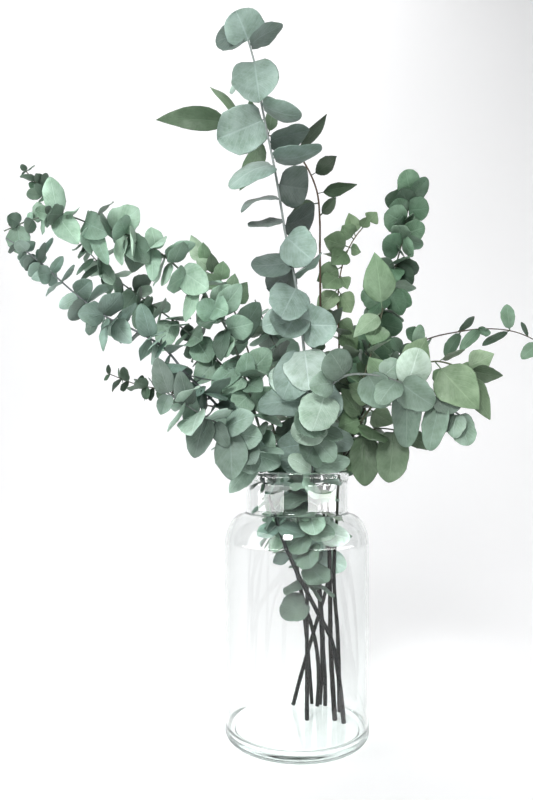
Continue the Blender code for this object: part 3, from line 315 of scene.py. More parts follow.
# Leaves between those of the solids, in the same form.
CLOSE_LEAVES = (
    ("right_column", ((409, 206, 402, 188, 10, 26, 10), (409, 210, 416, 192, 12, 26, 15),
     (408, 214, 390, 206, 10, 28, 10), (407, 218, 420, 232, 12, 28, 10), (406, 224, 392, 226, 14, 26, 15),
     (405, 228, 428, 240, 4, 26, 20), (404, 234, 410, 216, -8, 28, 15), (404, 238, 388, 252, 10, 26, 10),
     (402, 244, 420, 262, 8, 28, 15), (401, 250, 394, 236, 12, 26, 15), (399, 256, 384, 268, 10, 28, 10),
     (398, 262, 418, 272, -8, 28, 20), (397, 266, 390, 288, 12, 28, 10), (395, 274, 414, 296, 8, 28, 10),
     (393, 282, 378, 296, 4, 26, 15), (391, 290, 404, 314, 12, 28, 10), (388, 298, 372, 318, 8, 28, 15),
     (385, 306, 398, 330, 6, 28, 15), (382, 316, 402, 322, -6, 26, 20), (378, 324, 362, 338, 8, 30, 15),
     (374, 332, 392, 352, 8, 30, 15), (368, 346, 350, 334, 6, 30, 15), (362, 360, 378, 380, 12, 30, 15),
     (356, 378, 340, 370, 10, 28, 20), (350, 404, 366, 424, 10, 28, 20), (346, 424, 330, 414, 8, 28, 20))),
    ("brown_fork", ((362, 231, 368, 212, 4, 20, 20), (355, 240, 342, 226, 8, 25, 20),
     (347, 250, 333, 265, 10, 27, 15), (341, 262, 330, 243, 4, 26, 20), (339, 274, 322, 293, 12, 29, 15),
     (338, 292, 351, 311, 8, 28, 15), (338, 300, 320, 319, 12, 30, 15), (338, 318, 355, 337, 6, 30, 15),
     (338, 326, 319, 349, 10, 30, 15), (338, 346, 354, 368, 6, 30, 15), (337, 356, 322, 372, 6, 26, 15),
     (336, 372, 350, 388, 6, 26, 15))),
    ("back_pointed", ((210, 270, 196, 258, 4, 20, 15), (214, 276, 212, 254, 6, 20, 20),
     (222, 290, 206, 276, 6, 22, 15), (226, 298, 236, 274, 6, 22, 20), (236, 316, 222, 304, 6, 24, 20),
     (240, 326, 256, 306, 6, 24, 20))),
    ("pointed_right", ((430, 363, 410, 352, 6, 20, 20), (456, 364, 484, 384, -6, 26, 10),
     (448, 362, 442, 392, -8, 30, 10), (464, 369, 484, 398, -8, 22, 15))),
    ("front", ((330, 387, 342, 370, 8, 24, 15), (338, 380, 356, 366, 4, 24, 20),
     (380, 377, 398, 362, -4, 26, 15), (388, 379, 376, 400, -8, 28, 15), (416, 390, 440, 388, 4, 24, 20),
     (436, 401, 452, 424, 6, 24, 15), (424, 394, 418, 420, 4, 26, 15), (458, 413, 450, 436, 4, 22, 20))),
    ("thin_right", ((414, 343, 422, 326, 4, 16, 20), (434, 337, 424, 352, 2, 15, 25),
     (494, 329, 500, 340, 4, 10, 50), (400, 351, 392, 338, 2, 16, 20))),
    ("dark_twig", ((124, 381, 122, 372, 2, 8, 30), (136, 384, 142, 375, 2, 9, 30),
     (144, 385, 148, 399, 4, 12, 20), (158, 388, 166, 402, 4, 12, 20), (170, 392, 176, 412, 4, 14, 20),
     (112, 376, 106, 370, 2, 8, 30))),
    ("left_tip", ((36, 180, 30, 188, 4, 9, 20), (44, 194, 40, 204, 3, 8, 30), (28, 172, 34, 164, 2, 7, 50),
     (33, 176, 42, 174, 3, 9, 30))),
)


def seen(px, py, depth):
    """The point at this pixel of the front view that lies at this depth (+Y is away from the eye)."""
    away = depth - EYE.y
    across = (px - VIEW_CENTRE_PX[0]) * away / VIEW_FOCAL_PX
    up = (VIEW_CENTRE_PX[1] - py) * away / VIEW_FOCAL_PX
    return Vector((EYE.x + across, depth, EYE.z + up))


def as_seen(point):
    """The front view's pixel of a point."""
    away = point[1] - EYE.y
    return (VIEW_CENTRE_PX[0] + (point[0] - EYE.x) * VIEW_FOCAL_PX / away,
            VIEW_CENTRE_PX[1] - (point[2] - EYE.z) * VIEW_FOCAL_PX / away)


CURVE_PARTS = 12


def smooth_line(points, step):
    """Points every step along a Catmull-Rom curve through the given ones."""
    knots = [2 * points[0] - points[1], *points, 2 * points[-1] - points[-2]]
    dense = []
    for a, b, c, d in zip(knots, knots[1:], knots[2:], knots[3:]):
        for i in range(CURVE_PARTS):
            t = i / CURVE_PARTS
            dense.append(0.5 * (2 * b + (c - a) * t + (2 * a - 5 * b + 4 * c - d) * t ** 2
                                + (3 * b - a - 3 * c + d) * t ** 3))
    dense.append(points[-1])
    return resampled(np.array([tuple(p) for p in dense]), step)


def resampled(line, step):
    """The polyline with its points an even step apart."""
    along = np.concatenate([[0], np.cumsum(np.linalg.norm(np.diff(line, axis=0), axis=1))])
    count = max(2, round(along[-1] / step) + 1)
    wanted = np.linspace(0, along[-1], count)
    return np.stack([np.interp(wanted, along, line[:, k]) for k in range(3)], axis=1)


def inner_radius(z):
    """Free radius inside the bottle at this height."""
    if z > SHOULDER_TOP:
        return NECK_RADIUS - GLASS_WALL
    if z < GLASS_FLOOR + FOOT_ROUND:
        return BODY_RADIUS - GLASS_WALL - FOOT_ROUND
    if z < SHOULDER_BOTTOM:
        return BODY_RADIUS - GLASS_WALL
    share = (z - SHOULDER_BOTTOM) / (SHOULDER_TOP - SHOULDER_BOTTOM)
    return BODY_RADIUS - GLASS_WALL - (BODY_RADIUS - NECK_RADIUS) * share


def radii_along(shoot, count):
    return np.linspace(shoot.radii[0], shoot.radii[1], count)


FORK_FREE = 0.030
PUSH_ROUNDS = 60
RIM_ZONE = 0.007
INSIDE_MARGIN = 0.0014


class Route:
    """A stem's straight pieces between a few knots, and the even points on them."""

    def __init__(self, shoot):
        self.shoot = shoot
        self.knots = smooth_line([seen(*p) for p in shoot.route], STEM_STEP)
        length = np.linalg.norm(np.diff(self.knots, axis=0), axis=1).sum()
        place = np.linspace(0, len(self.knots) - 1, round(length / FINE_STEP) + 1)
        self.first = np.minimum(place.astype(int), len(self.knots) - 2)
        self.share = place - self.first
        self.radii = radii_along(shoot, len(place))

    def points(self):
        share = self.share[:, None]
        return self.knots[self.first] * (1 - share) + self.knots[self.first + 1] * share

    def push(self, i, move):
        """Moves the knots on both sides of point i so that it moves by this much."""
        t = self.share[i]
        even = (1 - t) ** 2 + t ** 2
        foot = self.knots[0, 2]
        self.knots[self.first[i]] += move * (1 - t) / even
        self.knots[self.first[i] + 1] += move * t / even
        if self.shoot.route[0][1] > MAIN_STEM_PX:
            self.knots[0, 2] = foot

    def keep_in_bottle(self):
        for i, radius in enumerate(self.radii):
            x, y, z = self.points()[i]
            room = inner_radius(z) - radius - INSIDE_MARGIN
            out = math.hypot(x, y)
            if z < BOTTLE_HEIGHT + RIM_ZONE and out > room:
                self.push(i, np.array([x, y, 0]) * (room / out - 1))


def pushed_apart():
    """The routes of all shoots, moved until no two stems and no stem and the glass touch."""
    routes = {s.name: Route(s) for s in SHOOTS}
    parents = {}
    for s in SHOOTS:
        if s.route[0][1] < MAIN_STEM_PX:
            start = routes[s.name].knots[0]
            family = [m.name for m in SHOOTS if m.tree == s.tree and m is not s]
            parents[s.name] = min(family, key=lambda n: gaps_to(routes[n], start).min())
    for _ in range(PUSH_ROUNDS):
        for i, a in enumerate(SHOOTS):
            for b in SHOOTS[i + 1:]:
                push_pair(routes[a.name], routes[b.name])
        for route in routes.values():
            route.keep_in_bottle()
        for child, parent in parents.items():
            points = routes[parent].points()
            nearest = gaps_to(routes[parent], routes[child].knots[0]).argmin()
            routes[child].knots[0] = points[nearest]
    return routes


def gaps_to(route, place):
    return np.linalg.norm(route.points() - place, axis=1)


def push_pair(a, b):
    """Moves two stems apart at each point of a that comes too close to b."""
    pa, pb = a.points(), b.points()
    apart = pa[:, None] - pb[None]
    distance = np.linalg.norm(apart, axis=2)
    need = a.radii[:, None] + b.radii[None] + STEM_CLEARANCE
    if a.shoot.tree == b.shoot.tree:
        forked = pa[0] if a.shoot.route[0][1] < b.shoot.route[0][1] else pb[0]
        near = np.linalg.norm(pa - forked, axis=1)[:, None] < FORK_FREE
        distance = np.where(near, 1.0, distance)
    for i in np.nonzero((distance < need).any(axis=1))[0]:
        j = int(distance[i].argmin())
        if need[i, j] > distance[i, j] > 1e-6:
            step = apart[i, j] / distance[i, j] * (need[i, j] - distance[i, j]) * 0.5
            a.push(i, step)
            b.push(j, -step)


def frames_along(line):
    """Tangent, side and up at each point, turned as little as possible from one to the next."""
    tangents = np.gradient(line, axis=0)
    tangents /= np.linalg.norm(tangents, axis=1)[:, None]
    side = Vector(tangents[0]).orthogonal().normalized()
    frames = []
    for t in tangents:
        t = Vector(t)
        side = (side - t * side.dot(t)).normalized()
        frames.append((t, side, t.cross(side)))
    return frames


def tube(line, radii, sides):
    """(points, faces) of a closed tube of this many sides, with flat ends."""
    points, faces = [], []
    for centre, radius, (_, side, up) in zip(line, radii, frames_along(line)):
        for k in range(sides):
            angle = 2 * math.pi * k / sides
            points.append(Vector(centre) + (side * math.cos(angle) + up * math.sin(angle)) * radius)
    for ring in range(len(line) - 1):
        for k in range(sides):
            a, b = ring * sides + k, ring * sides + (k + 1) % sides
            faces.append((a, b, b + sides, a + sides))
    faces.append(tuple(reversed(range(sides))))
    faces.append(tuple(range((len(line) - 1) * sides, len(line) * sides)))
    return points, faces


@dataclass
class Leaf:
    """One blade: root and axes in the row frame, sizes in metres, arch and cup as shares."""

    shoot: str
    species: Species
    root: Vector
    along: Vector
    normal: Vector
    length: float
    width: float
    arch: float
    cup: float

    def half_width(self, share):
        """Half of the width at this share of the length. The petiole is narrow, the blade is rounded."""
        petiole = self.species.petiole
        if share <= petiole:
            return PETIOLE_HALF_WIDTH
        t = (share - petiole) / (1 - petiole)
        a, b = self.species.base_power, self.species.tip_power
        peak = a / (a + b)
        top = peak ** a * (1 - peak) ** b
        return max(PETIOLE_HALF_WIDTH, self.width / 2 * t ** a * (1 - t) ** b / top)

    def rise(self, share, across, half):
        """How far the arched and cupped face stands off its plane."""
        return (self.arch * self.length * 4 * share * (1 - share)
                + self.cup * half * (abs(across) ** 1.5 - 0.5))

    def at(self, share, across, lift=0.0, grow=0.0):
        """The point at this share of the length and this share of the half width, off the face by lift."""
        side = self.normal.cross(self.along)
        half = self.half_width(share)
        return (self.root + self.along * share * self.length + side * across * (half + grow)
                + self.normal * (self.rise(share, across, half) + lift))


SMALL_LEAF = 0.031
SMALL_STATIONS = (0.24, 0.72)
SHORT_PETIOLE = 0.12
ROW_MARGIN = 0.02
# Radius round a leaf's middle that holds it, as a share of its longer side
REACH_SHARE = 0.62
# Leaves of one tree may meet in this share of their length
TRIM_ROOT = 0.16


def stations_of(leaf):
    """Where along the blade its outline has a pair of corners."""
    petiole = leaf.species.petiole
    if leaf.length < SMALL_LEAF:
        return SMALL_STATIONS
    if petiole < SHORT_PETIOLE:
        return (petiole + 0.06, 0.42, 0.80)
    return (petiole + (1 - petiole) * 0.08, petiole + (1 - petiole) * 0.38,
            petiole + (1 - petiole) * 0.75)


def blade(leaf, first=0.0, grow=0.0):
    """(points, triangles) of the closed blade from this share of its length on, grown on all sides."""
    lift = BLADE_THICKNESS / 2 + grow
    rows = [s for s in stations_of(leaf) if s > first + ROW_MARGIN]
    points = []
    for sign in (1, -1):
        points.append(leaf.at(first, 0, sign * lift))
        for s in rows:
            points += [leaf.at(s, -1, sign * lift, grow), leaf.at(s, 1, sign * lift, grow)]
        points.append(leaf.at(1, 0, sign * lift) + leaf.along * grow)
    half = len(points) // 2
    last = half - 1
    top = [(0, 1, 2)]
    for r in range(len(rows) - 1):
        a = 1 + 2 * r
        top += [(a, a + 2, a + 3), (a, a + 3, a + 1)]
    top.append((last - 2, last, last - 1))
    rim = [0, *range(1, last, 2), last, *range(last - 1, 0, -2)]
    faces = list(top)
    faces += [(c + half, b + half, a + half) for a, b, c in top]
    for a, b in zip(rim, rim[1:] + rim[:1]):
        faces += [(a, a + half, b + half), (a, b + half, b)]
    return points, faces


def leaf_extent(leaf):
    """Middle of a leaf, and a radius round it that holds the leaf."""
    return np.array(leaf.root + leaf.along * leaf.length / 2), max(leaf.length, leaf.width) * REACH_SHARE


class Crowd:
    """Everything that a new leaf has to stay clear of."""

    def __init__(self, stems, bottle):
        self.bottle = BVHTree.FromPolygons(*bottle)
        self.stems = {}
        for s in SHOOTS:
            self.stems.setdefault(s.tree, []).append(BVHTree.FromPolygons(*stems[s.name]))
        self.centres = np.zeros((0, 3))
        self.reach = np.zeros(0)
        self.placed = []

    def free(self, tree, leaf):
        whole = BVHTree.FromPolygons(*blade(leaf, 0.0, CLEARANCE))
        if whole.overlap(self.bottle):
            return False
        trimmed = BVHTree.FromPolygons(*blade(leaf, TRIM_ROOT, CLEARANCE))
        for other, trees in self.stems.items():
            tested = trimmed if other == tree else whole
            if any(tested.overlap(stem) for stem in trees):
                return False
        centre, reach = leaf_extent(leaf)
        near = np.nonzero(np.linalg.norm(self.centres - centre, axis=1) < self.reach + reach)[0]
        for k in near:
            other, other_whole, other_trimmed = self.placed[k]
            if other == tree and trimmed.overlap(other_trimmed):
                return False
            if other != tree and whole.overlap(other_whole):
                return False
        return True

    def first_clear(self, tree, leaves):
        """The first of these forms of a leaf that is clear of the rest, now placed, as a list of 1 or 0."""
        for leaf in leaves:
            if self.free(tree, leaf):
                centre, reach = leaf_extent(leaf)
                self.centres = np.vstack([self.centres, centre])
                self.reach = np.append(self.reach, reach)
                self.placed.append((tree, BVHTree.FromPolygons(*blade(leaf)),
                                    BVHTree.FromPolygons(*blade(leaf, TRIM_ROOT))))
                return [leaf]
        return []


def turned(vector, axis, degrees):
    return Matrix.Rotation(math.radians(degrees), 3, axis) @ vector


def single_leaf(row, shoot, line, draw, turn, shrink, lean):
    """A leaf read from the front view, with its root on the stem point nearest to the given pixel."""
    base_x, base_y, tip_x, tip_y, nearer, width, roll = row
    gaps = [math.dist(as_seen(p), (base_x, base_y)) for p in line]
    root = Vector(line[min(int(np.argmin(gaps)), len(line) - 2)])
    tip = seen(tip_x, tip_y, root.y - nearer / 1000)
    along = tip - root
    length = along.length * shrink
    along.normalize()
    facing = (EYE - root).normalized()
    normal = (facing - along * facing.dot(along)).normalized()
    normal = turned(normal, along, roll + turn)
    along = turned(along, along.cross(normal), lean)
    normal = (normal - along * normal.dot(along)).normalized()
    return Leaf(shoot.name, SPECIES[shoot.species], root, along, normal, length, width / 1000 * shrink,
                draw["arch"], draw["cup"])


def rule_leaf(shoot, root, frame, angle, opening, roll, size, draw):
    """A leaf that follows its species' habit, set round the stem by the angle."""
    species = SPECIES[shoot.species]
    tangent, side, up = frame
    outward = side * math.cos(math.radians(angle)) + up * math.sin(math.radians(angle))
    open_by = math.radians(opening)
    along = tangent * math.cos(open_by) + outward * math.sin(open_by)
    along = (along - Vector((0, 0, species.droop * draw["droop"]))).normalized()
    normal = tangent - along * tangent.dot(along)
    if normal.length < 0.1:
        normal = outward - along * outward.dot(along)
    normal = turned(normal.normalized(), along, roll)
    scale = shoot.size * size
    return Leaf(shoot.name, species, root, along, normal, species.length * scale, species.width * scale,
                draw["arch"], draw["cup"])


# Forms that are tried in turn until one is clear: (turn, share of the size, lean) for a single leaf,
# and (swing round the stem, wider opening, share of the size) for one that follows the rule.
TURNS = ((0, 1, 0), (6, 1, 0), (-6, 1, 0), (0, 1, 5), (0, 1, -5), (14, 1, 0), (-14, 1, 0),
         (0, 1, 12), (0, 1, -12), (28, 1, 8), (-28, 1, -8),
         (0, .88, 0), (20, .88, 12), (-20, .88, -12), (45, .88, 0), (-45, .88, 0), (0, .76, 20),
         (0, .76, -20), (35, .76, 15), (-35, .76, -15))
SWINGS = tuple((angle, opening, size) for size in (1.0, 0.86, 0.72)
               for angle, opening in ((0, 0), (18, 0), (-18, 0), (0, 14), (0, -16), (36, 6), (-36, 6),
                                      (54, -10), (-54, -10), (75, 0), (-75, 0)))


def form_draw(rng):
    return {"arch": rng.uniform(-0.05, 0.13), "cup": rng.uniform(-0.20, 0.28),
            "droop": rng.uniform(0.3, 1.8)}


def single_leaves(table, seed, lines, crowd):
    """The leaves of a table above that find room."""
    rng = random.Random(seed)
    shoots = {s.name: s for s in SHOOTS}
    kept = []
    for name, rows in table:
        for row in rows:
            draw = form_draw(rng)
            forms = (single_leaf(row, shoots[name], lines[name], draw, *turn) for turn in TURNS)
            kept += crowd.first_clear(shoots[name].tree, forms)
    return kept


# Young leaves grow in this share of a shoot at its tip. The spreads are in degrees.
TIP_SHARE = 0.14
GOLDEN_TURN = 137.5
OPEN_SPREAD = 12
ROLL_SPREAD = 48
SPIN_SPREAD = 16
SIZE_RANGE = (0.86, 1.12)
PAIR_APART = 0.0008


def rule_leaves(shoot, line, crowd, spacing):
    """Leaves in turned pairs, or one by one round the stem, over the leafy share of a shoot."""
    rng = random.Random(shoot.seed)
    species = SPECIES[shoot.species]
    frames = frames_along(line)
    total = (len(line) - 1) * FINE_STEP
    position, end = (share * total for share in shoot.leafy)
    spin = rng.uniform(0, 360)
    kept = []
    while position <= end:
        i = min(len(line) - 2, int(position / FINE_STEP))
        to_tip = (total - position) / total
        young = min(1.0, 0.45 + 0.55 * to_tip / TIP_SHARE)
        for k, angle in enumerate((spin, spin + 180) if species.pair else (spin,)):
            draw = form_draw(rng)
            opening = species.open_angle * (0.65 + 0.35 * young) + rng.uniform(-OPEN_SPREAD, OPEN_SPREAD)
            size = young * rng.uniform(*SIZE_RANGE)
            roll = rng.uniform(-ROLL_SPREAD, ROLL_SPREAD)
            angle += rng.uniform(-SPIN_SPREAD, SPIN_SPREAD)
            root = Vector(line[i]) + frames[i][0] * (PAIR_APART * k)
            forms = (rule_leaf(shoot, root, frames[i], angle + swing, opening + wider, roll,
                               size * smaller, draw) for swing, wider, smaller in SWINGS)
            kept += crowd.first_clear(shoot.tree, forms)
        spin += 90 if species.pair else GOLDEN_TURN
        position += spacing * shoot.size * (0.55 + 0.45 * young)
    return kept


def shoulder_points(radius, bottom, turns):
    """Points of the shoulder that narrows to this radius, at turns from 0 below to a right angle above."""
    return [(radius + (BODY_RADIUS - NECK_RADIUS) * max(0.0, math.cos(turn)) ** SHOULDER_OUT_POWER,
             bottom + (SHOULDER_TOP - SHOULDER_BOTTOM) * math.sin(turn) ** SHOULDER_UP_POWER)
            for turn in turns]


def bottle_profile():
    """The solid's outline: from the middle of the foot, up the outside, over the lip and down inside."""
    inner_neck = NECK_RADIUS - GLASS_WALL
    turns = [math.radians(22.5 * k) for k in range(5)]
    outer = [(0.0, 0.0), (BODY_RADIUS - FOOT_ROUND, 0.0)]
    outer += arc(BODY_RADIUS - FOOT_ROUND, FOOT_ROUND, FOOT_ROUND, -60, 0, 3)
    outer += shoulder_points(NECK_RADIUS, SHOULDER_BOTTOM, turns)
    outer.append((NECK_RADIUS, FLARE_START))
    outer += [(LIP_RADIUS - inwards, BOTTLE_HEIGHT - down) for inwards, down in LIP]
    inner = [(inner_neck, FLARE_START), (inner_neck, SHOULDER_TOP)]
    inner += reversed(shoulder_points(inner_neck, INNER_SHOULDER_BOTTOM, turns[:-1]))
    inner += reversed(arc(BODY_RADIUS - GLASS_WALL - FOOT_ROUND, GLASS_FLOOR + FOOT_ROUND, FOOT_ROUND,
                          -90, 0, 3))
    inner.append((0.0, GLASS_FLOOR))
    return outer + inner


def arc(centre_x, centre_z, radius, start, end, steps):
    angles = [math.radians(start + (end - start) * k / steps) for k in range(steps + 1)]
    return [(centre_x + radius * math.cos(a), centre_z + radius * math.sin(a)) for a in angles]


def turned_solid(profile, sides):
    """(points, faces) of the profile turned round Z. Its first and last points lie on the axis."""
    points = [Vector((0, 0, profile[0][1]))]
    ring = profile[1:-1]
    for radius, z in ring:
        for k in range(sides):
            angle = 2 * math.pi * k / sides
            points.append(Vector((radius * math.cos(angle), radius * math.sin(angle), z)))
    points.append(Vector((0, 0, profile[-1][1])))
    faces = []
    for k in range(sides):
        n = (k + 1) % sides
        faces.append((0, 1 + n, 1 + k))
        for r in range(len(ring) - 1):
            a = 1 + r * sides
            faces.append((a + k, a + n, a + sides + n, a + sides + k))
        a = 1 + (len(ring) - 1) * sides
        faces.append((a + k, a + n, len(points) - 1))
    return points, faces


def coarse_tube(route):
    """The stem of a shoot with few faces. A main stem's foot stands just clear of the glass floor."""
    few = route.knots.copy()
    radii = radii_along(route.shoot, len(few))
    if route.shoot.route[0][1] > MAIN_STEM_PX:
        tangent = Vector(few[1] - few[0]).normalized()
        few[0, 2] = GLASS_FLOOR + SEAT_GAP + radii[0] * math.sqrt(1 - tangent.z ** 2)
    return tube(few, radii, STEM_SIDES)


# Colours in sRGB, 0 to 255: for each shoot its usual leaf, one that some leaves lean to, and its stem.
TONES = {
    "tall": ((126, 147, 142), (158, 179, 173), (150, 160, 158)),
    "brown": ((74, 97, 75), (100, 123, 96), (98, 82, 68)),
    "brown_fork": ((102, 127, 97), (126, 149, 116), (112, 104, 84)),
    "right_column": ((88, 120, 98), (112, 143, 119), (98, 106, 88)),
    "right_low": ((108, 134, 104), (128, 152, 126), (100, 108, 90)),
    "pointed": ((112, 140, 110), (142, 166, 140), (96, 100, 82)),
    "pointed_right": ((112, 138, 108), (134, 156, 128), (104, 112, 90)),
    "thin_right": ((92, 122, 100), (120, 148, 128), (92, 84, 74)),
    "front": ((122, 144, 132), (150, 172, 160), (132, 142, 138)),
    "left_upper": ((130, 160, 144), (168, 196, 178), (120, 132, 120)),
    "left_tip": ((70, 98, 80), (96, 124, 104), (92, 88, 78)),
    "left_middle": ((118, 146, 130), (146, 172, 156), (118, 130, 120)),
    "left_lower": ((116, 142, 134), (140, 164, 156), (124, 132, 134)),
    "dark_twig": ((60, 84, 66), (88, 112, 92), (82, 78, 68)),
    "left_front": ((146, 170, 160), (166, 188, 178), (124, 132, 130)),
    "back_pointed": ((112, 142, 112), (138, 164, 138), (96, 104, 84)),
    "back_left": ((112, 140, 126), (138, 162, 150), (118, 128, 120)),
    "back_right": ((96, 124, 102), (120, 146, 124), (98, 106, 88)),
}
# Distance between the leaves that fill a shoot, and how far along some shoots they go
FILL_SPACING = {
    "silver_dollar": 0.025, "silver_ovate": 0.020, "round_green": 0.017, "small_dark": 0.013,
    "small_oval": 0.024, "broad_pointed": 0.026, "narrow_pointed": 0.026,
}
FILL_END = {"front": 0.64, "pointed_right": 0.3}
GREEN_TREES = ("brown_stem", "pointed_stem", "back_pointed_stem", "right_stem")
SINGLE_SEED = 5
CLOSE_SEED = 9
FINE_SEED = 77

# Fine blades: rows along and lines across, half of the thickness of blade and petiole, the midrib's
# groove above and height below, the powers of rounder tips, and the waves of the rim (size, then the
# range of their number)
BLADE_ROWS = 15
BLADE_ACROSS = (-1, -0.94, -0.68, -0.34, 0, 0.34, 0.68, 0.94, 1)
FINE_HALF = 0.00028
STALK_HALF = 0.00055
TIP_HALF = 0.0002
GROOVE_DEPTH = 0.00035
RIB_HEIGHT = 0.00025
CURL_START = 0.6
POINTED = 0.9
BLUNTER = 0.78
ROUNDEST = 0.5
RIM_WAVES = ((0.055, 5, 9), (0.024, 17, 26), (0.016, 34, 46))

# Lightness of the leaves, and their common cast. The shares for leaves in the neck and in the bottle are
# painted shade.
LEAF_CAST = (0.985, 1.012, 0.96)
IN_NECK_PAINTED_SHADE = 0.85
IN_BOTTLE_PAINTED_SHADE = 0.66
MOST_ALBEDO = 0.85


def linear(colour):
    """Linear RGB of an sRGB colour given as 0 to 255."""
    return [(c / 255 / 12.92) if c / 255 < 0.04045 else ((c / 255 + 0.055) / 1.055) ** 2.4
            for c in colour]


FILL_SEEDS = 400
FILL_SIZE = 0.94


def filling(shoot):
    """The same shoot with the leaves that fill it."""
    start, end = shoot.leafy
    end = min(end, FILL_END.get(shoot.name, 1))
    return replace(shoot, leafy=(start, end), seed=shoot.seed + FILL_SEEDS, size=shoot.size * FILL_SIZE)


def all_leaves(lines, crowd):
    """Every leaf: those of the solids, then the ones between them, each only where it has room."""
    leaves = single_leaves(SINGLE_LEAVES, SINGLE_SEED, lines, crowd)
    for shoot in SHOOTS:
        leaves += rule_leaves(shoot, lines[shoot.name], crowd, SPECIES[shoot.species].spacing)
    leaves += single_leaves(CLOSE_LEAVES, CLOSE_SEED, lines, crowd)
    for shoot in SHOOTS:
        leaves += rule_leaves(filling(shoot), lines[shoot.name], crowd, FILL_SPACING[shoot.species])
    return leaves


# Painted shadow of the stem at a blade's root, and the blade's own paler rim
ROOT_PAINTED_SHADE = 0.34
RIM_PALE = 0.12


def blade_tone_and_painted_shade(s, a, rng):
    """How light each place of one blade is. Painted shade: darker toward its root by the stem, lighter
    toward one end and one side. Its own tone: uneven clouds across, pale at the rim.
    """
    # lean and the slope across paint light and shade: one end and one side of the blade lighter than the
    # other
    lean = rng.uniform(-0.04, 0.34)
    side_painted_light = rng.uniform(-0.18, 0.18)
    cloud = np.sin(s * rng.uniform(3, 7) + rng.uniform(0, 6))
    cloud = cloud * np.cos(a * rng.uniform(1.5, 3) + rng.uniform(0, 6))
    shade = 1 + lean * (s - 0.55) + side_painted_light * a + 0.08 * cloud
    # Painted shadow near the stem darkens the root
    return shade * (1 - ROOT_PAINTED_SHADE * np.exp(-s / 0.16)) * (1 + RIM_PALE * np.abs(a) ** 6)


def blunter(species):
    """The same habit with a rounder tip. Pointed kinds stay as they are."""
    if species.tip_power > POINTED:
        return species
    return replace(species, tip_power=max(ROUNDEST, species.tip_power * BLUNTER))


# Waves along a blade's halves: size as a share of its width, and number. Then how much wider one half
# may be, and as shares of the length how far the tip curls, bends sideways, and the base's lobes reach
WAVE_SIZE = (0.012, 0.045)
WAVE_NUMBER = (8, 13)
UNEVEN = 0.06
MOST_CURL = 0.16
SIDE_BEND = 0.06
LOBES = 0.06


def blade_middle(leaf, s, a, half, rng):
    """The blade's middle face at shares s of its length and a of its half width, with its waves."""
    side, along, normal = (np.array(v) for v in (leaf.normal.cross(leaf.along), leaf.along, leaf.normal))
    wave = rng.uniform(*WAVE_SIZE) * leaf.width
    turn = s * rng.uniform(*WAVE_NUMBER) + np.sign(a) * rng.uniform(0.4, 2) + rng.uniform(0, 6)
    rise = leaf.rise(s, a, half) + wave * np.sin(turn) * a ** 2
    curl = rng.uniform(-MOST_CURL, MOST_CURL) * leaf.length
    rise = rise + curl * np.clip(s - CURL_START, 0, 1) ** 2 * 2.5
    groove = GROOVE_DEPTH * np.exp(-((a / 0.14) ** 2)) * np.clip(half / 0.004, 0, 1)
    rise = rise - groove
    spread = a * half * (1 + UNEVEN * rng.uniform(-1, 1) * np.sign(a))
    spread = spread + rng.uniform(-SIDE_BEND, SIDE_BEND) * leaf.length * s ** 2
    lobes = -LOBES * leaf.length * np.abs(a) ** 2 * np.clip(1 - s / 0.3, 0, 1)
    lobes = lobes * np.clip(half / 0.006, 0, 1)
    return (np.array(leaf.root) + (s * leaf.length + lobes)[..., None] * along + spread[..., None] * side
            + rise[..., None] * normal)


def cells(grid):
    """The four corners of each cell of a grid, in turn."""
    around = np.stack([grid[:-1, :-1], grid[:-1, 1:], grid[1:, 1:], grid[1:, :-1]], axis=2)
    return around.reshape(-1, *around.shape[2:])


def fine_blade(leaf, rng):
    """(points, faces, corner maps, under) of the closed thin blade on the same face as the solid's."""
    petiole = leaf.species.petiole
    t = (1 - np.cos(np.linspace(0, math.pi, BLADE_ROWS))) / 2
    shares = np.concatenate([[0.0], petiole * 0.6 + (1 - petiole * 0.6) * t])
    rounded = replace(leaf, species=blunter(leaf.species))
    half = np.array([rounded.half_width(s) for s in shares])
    half[-1] = TIP_HALF
    for size, fewest, most in RIM_WAVES:
        half *= 1 + size * np.sin(shares * rng.uniform(fewest, most) + rng.uniform(0, 6))
    s = shares[:, None]
    a = np.array(BLADE_ACROSS)[None, :]
    middle = blade_middle(leaf, s, a, half[:, None], rng)
    stalk = np.clip((petiole + 0.05 - s) / 0.05, 0, 1)
    thick = (FINE_HALF + (STALK_HALF - FINE_HALF) * stalk) * (1 - a ** 2) ** 0.5
    rib = RIB_HEIGHT * np.exp(-((a / 0.10) ** 2)) * (1 - s)
    normal = np.array(leaf.normal)
    top = middle + thick[..., None] * normal
    low = middle - (thick + rib)[..., None] * normal
    rows, columns = top.shape[:2]
    upper = np.arange(rows * columns).reshape(rows, columns)
    lower = upper.copy()
    lower[1:-1, 1:-1] = rows * columns + np.arange((rows - 2) * (columns - 2)).reshape(rows - 2, -1)
    points = np.concatenate([top.reshape(-1, 3), low[1:-1, 1:-1].reshape(-1, 3)])
    points[upper[0]] = middle[0]
    points[upper[-1]] = middle[-1]
    # The third channel is the blade's lightness, partly painted light and shade
    maps = cells(np.stack(np.broadcast_arrays((a + 1) / 2, s, blade_tone_and_painted_shade(s, a, rng)), axis=-1))
    faces = np.concatenate([cells(upper), cells(lower)[:, ::-1]])
    under = np.repeat([0.0, 1.0], len(maps))
    return points, faces, np.concatenate([maps, maps[:, ::-1]]), under


def placed(name, data):
    """A new object with this data, in the scene."""
    made = bpy.data.objects.new(name, data)
    bpy.context.scene.collection.objects.link(made)
    return made


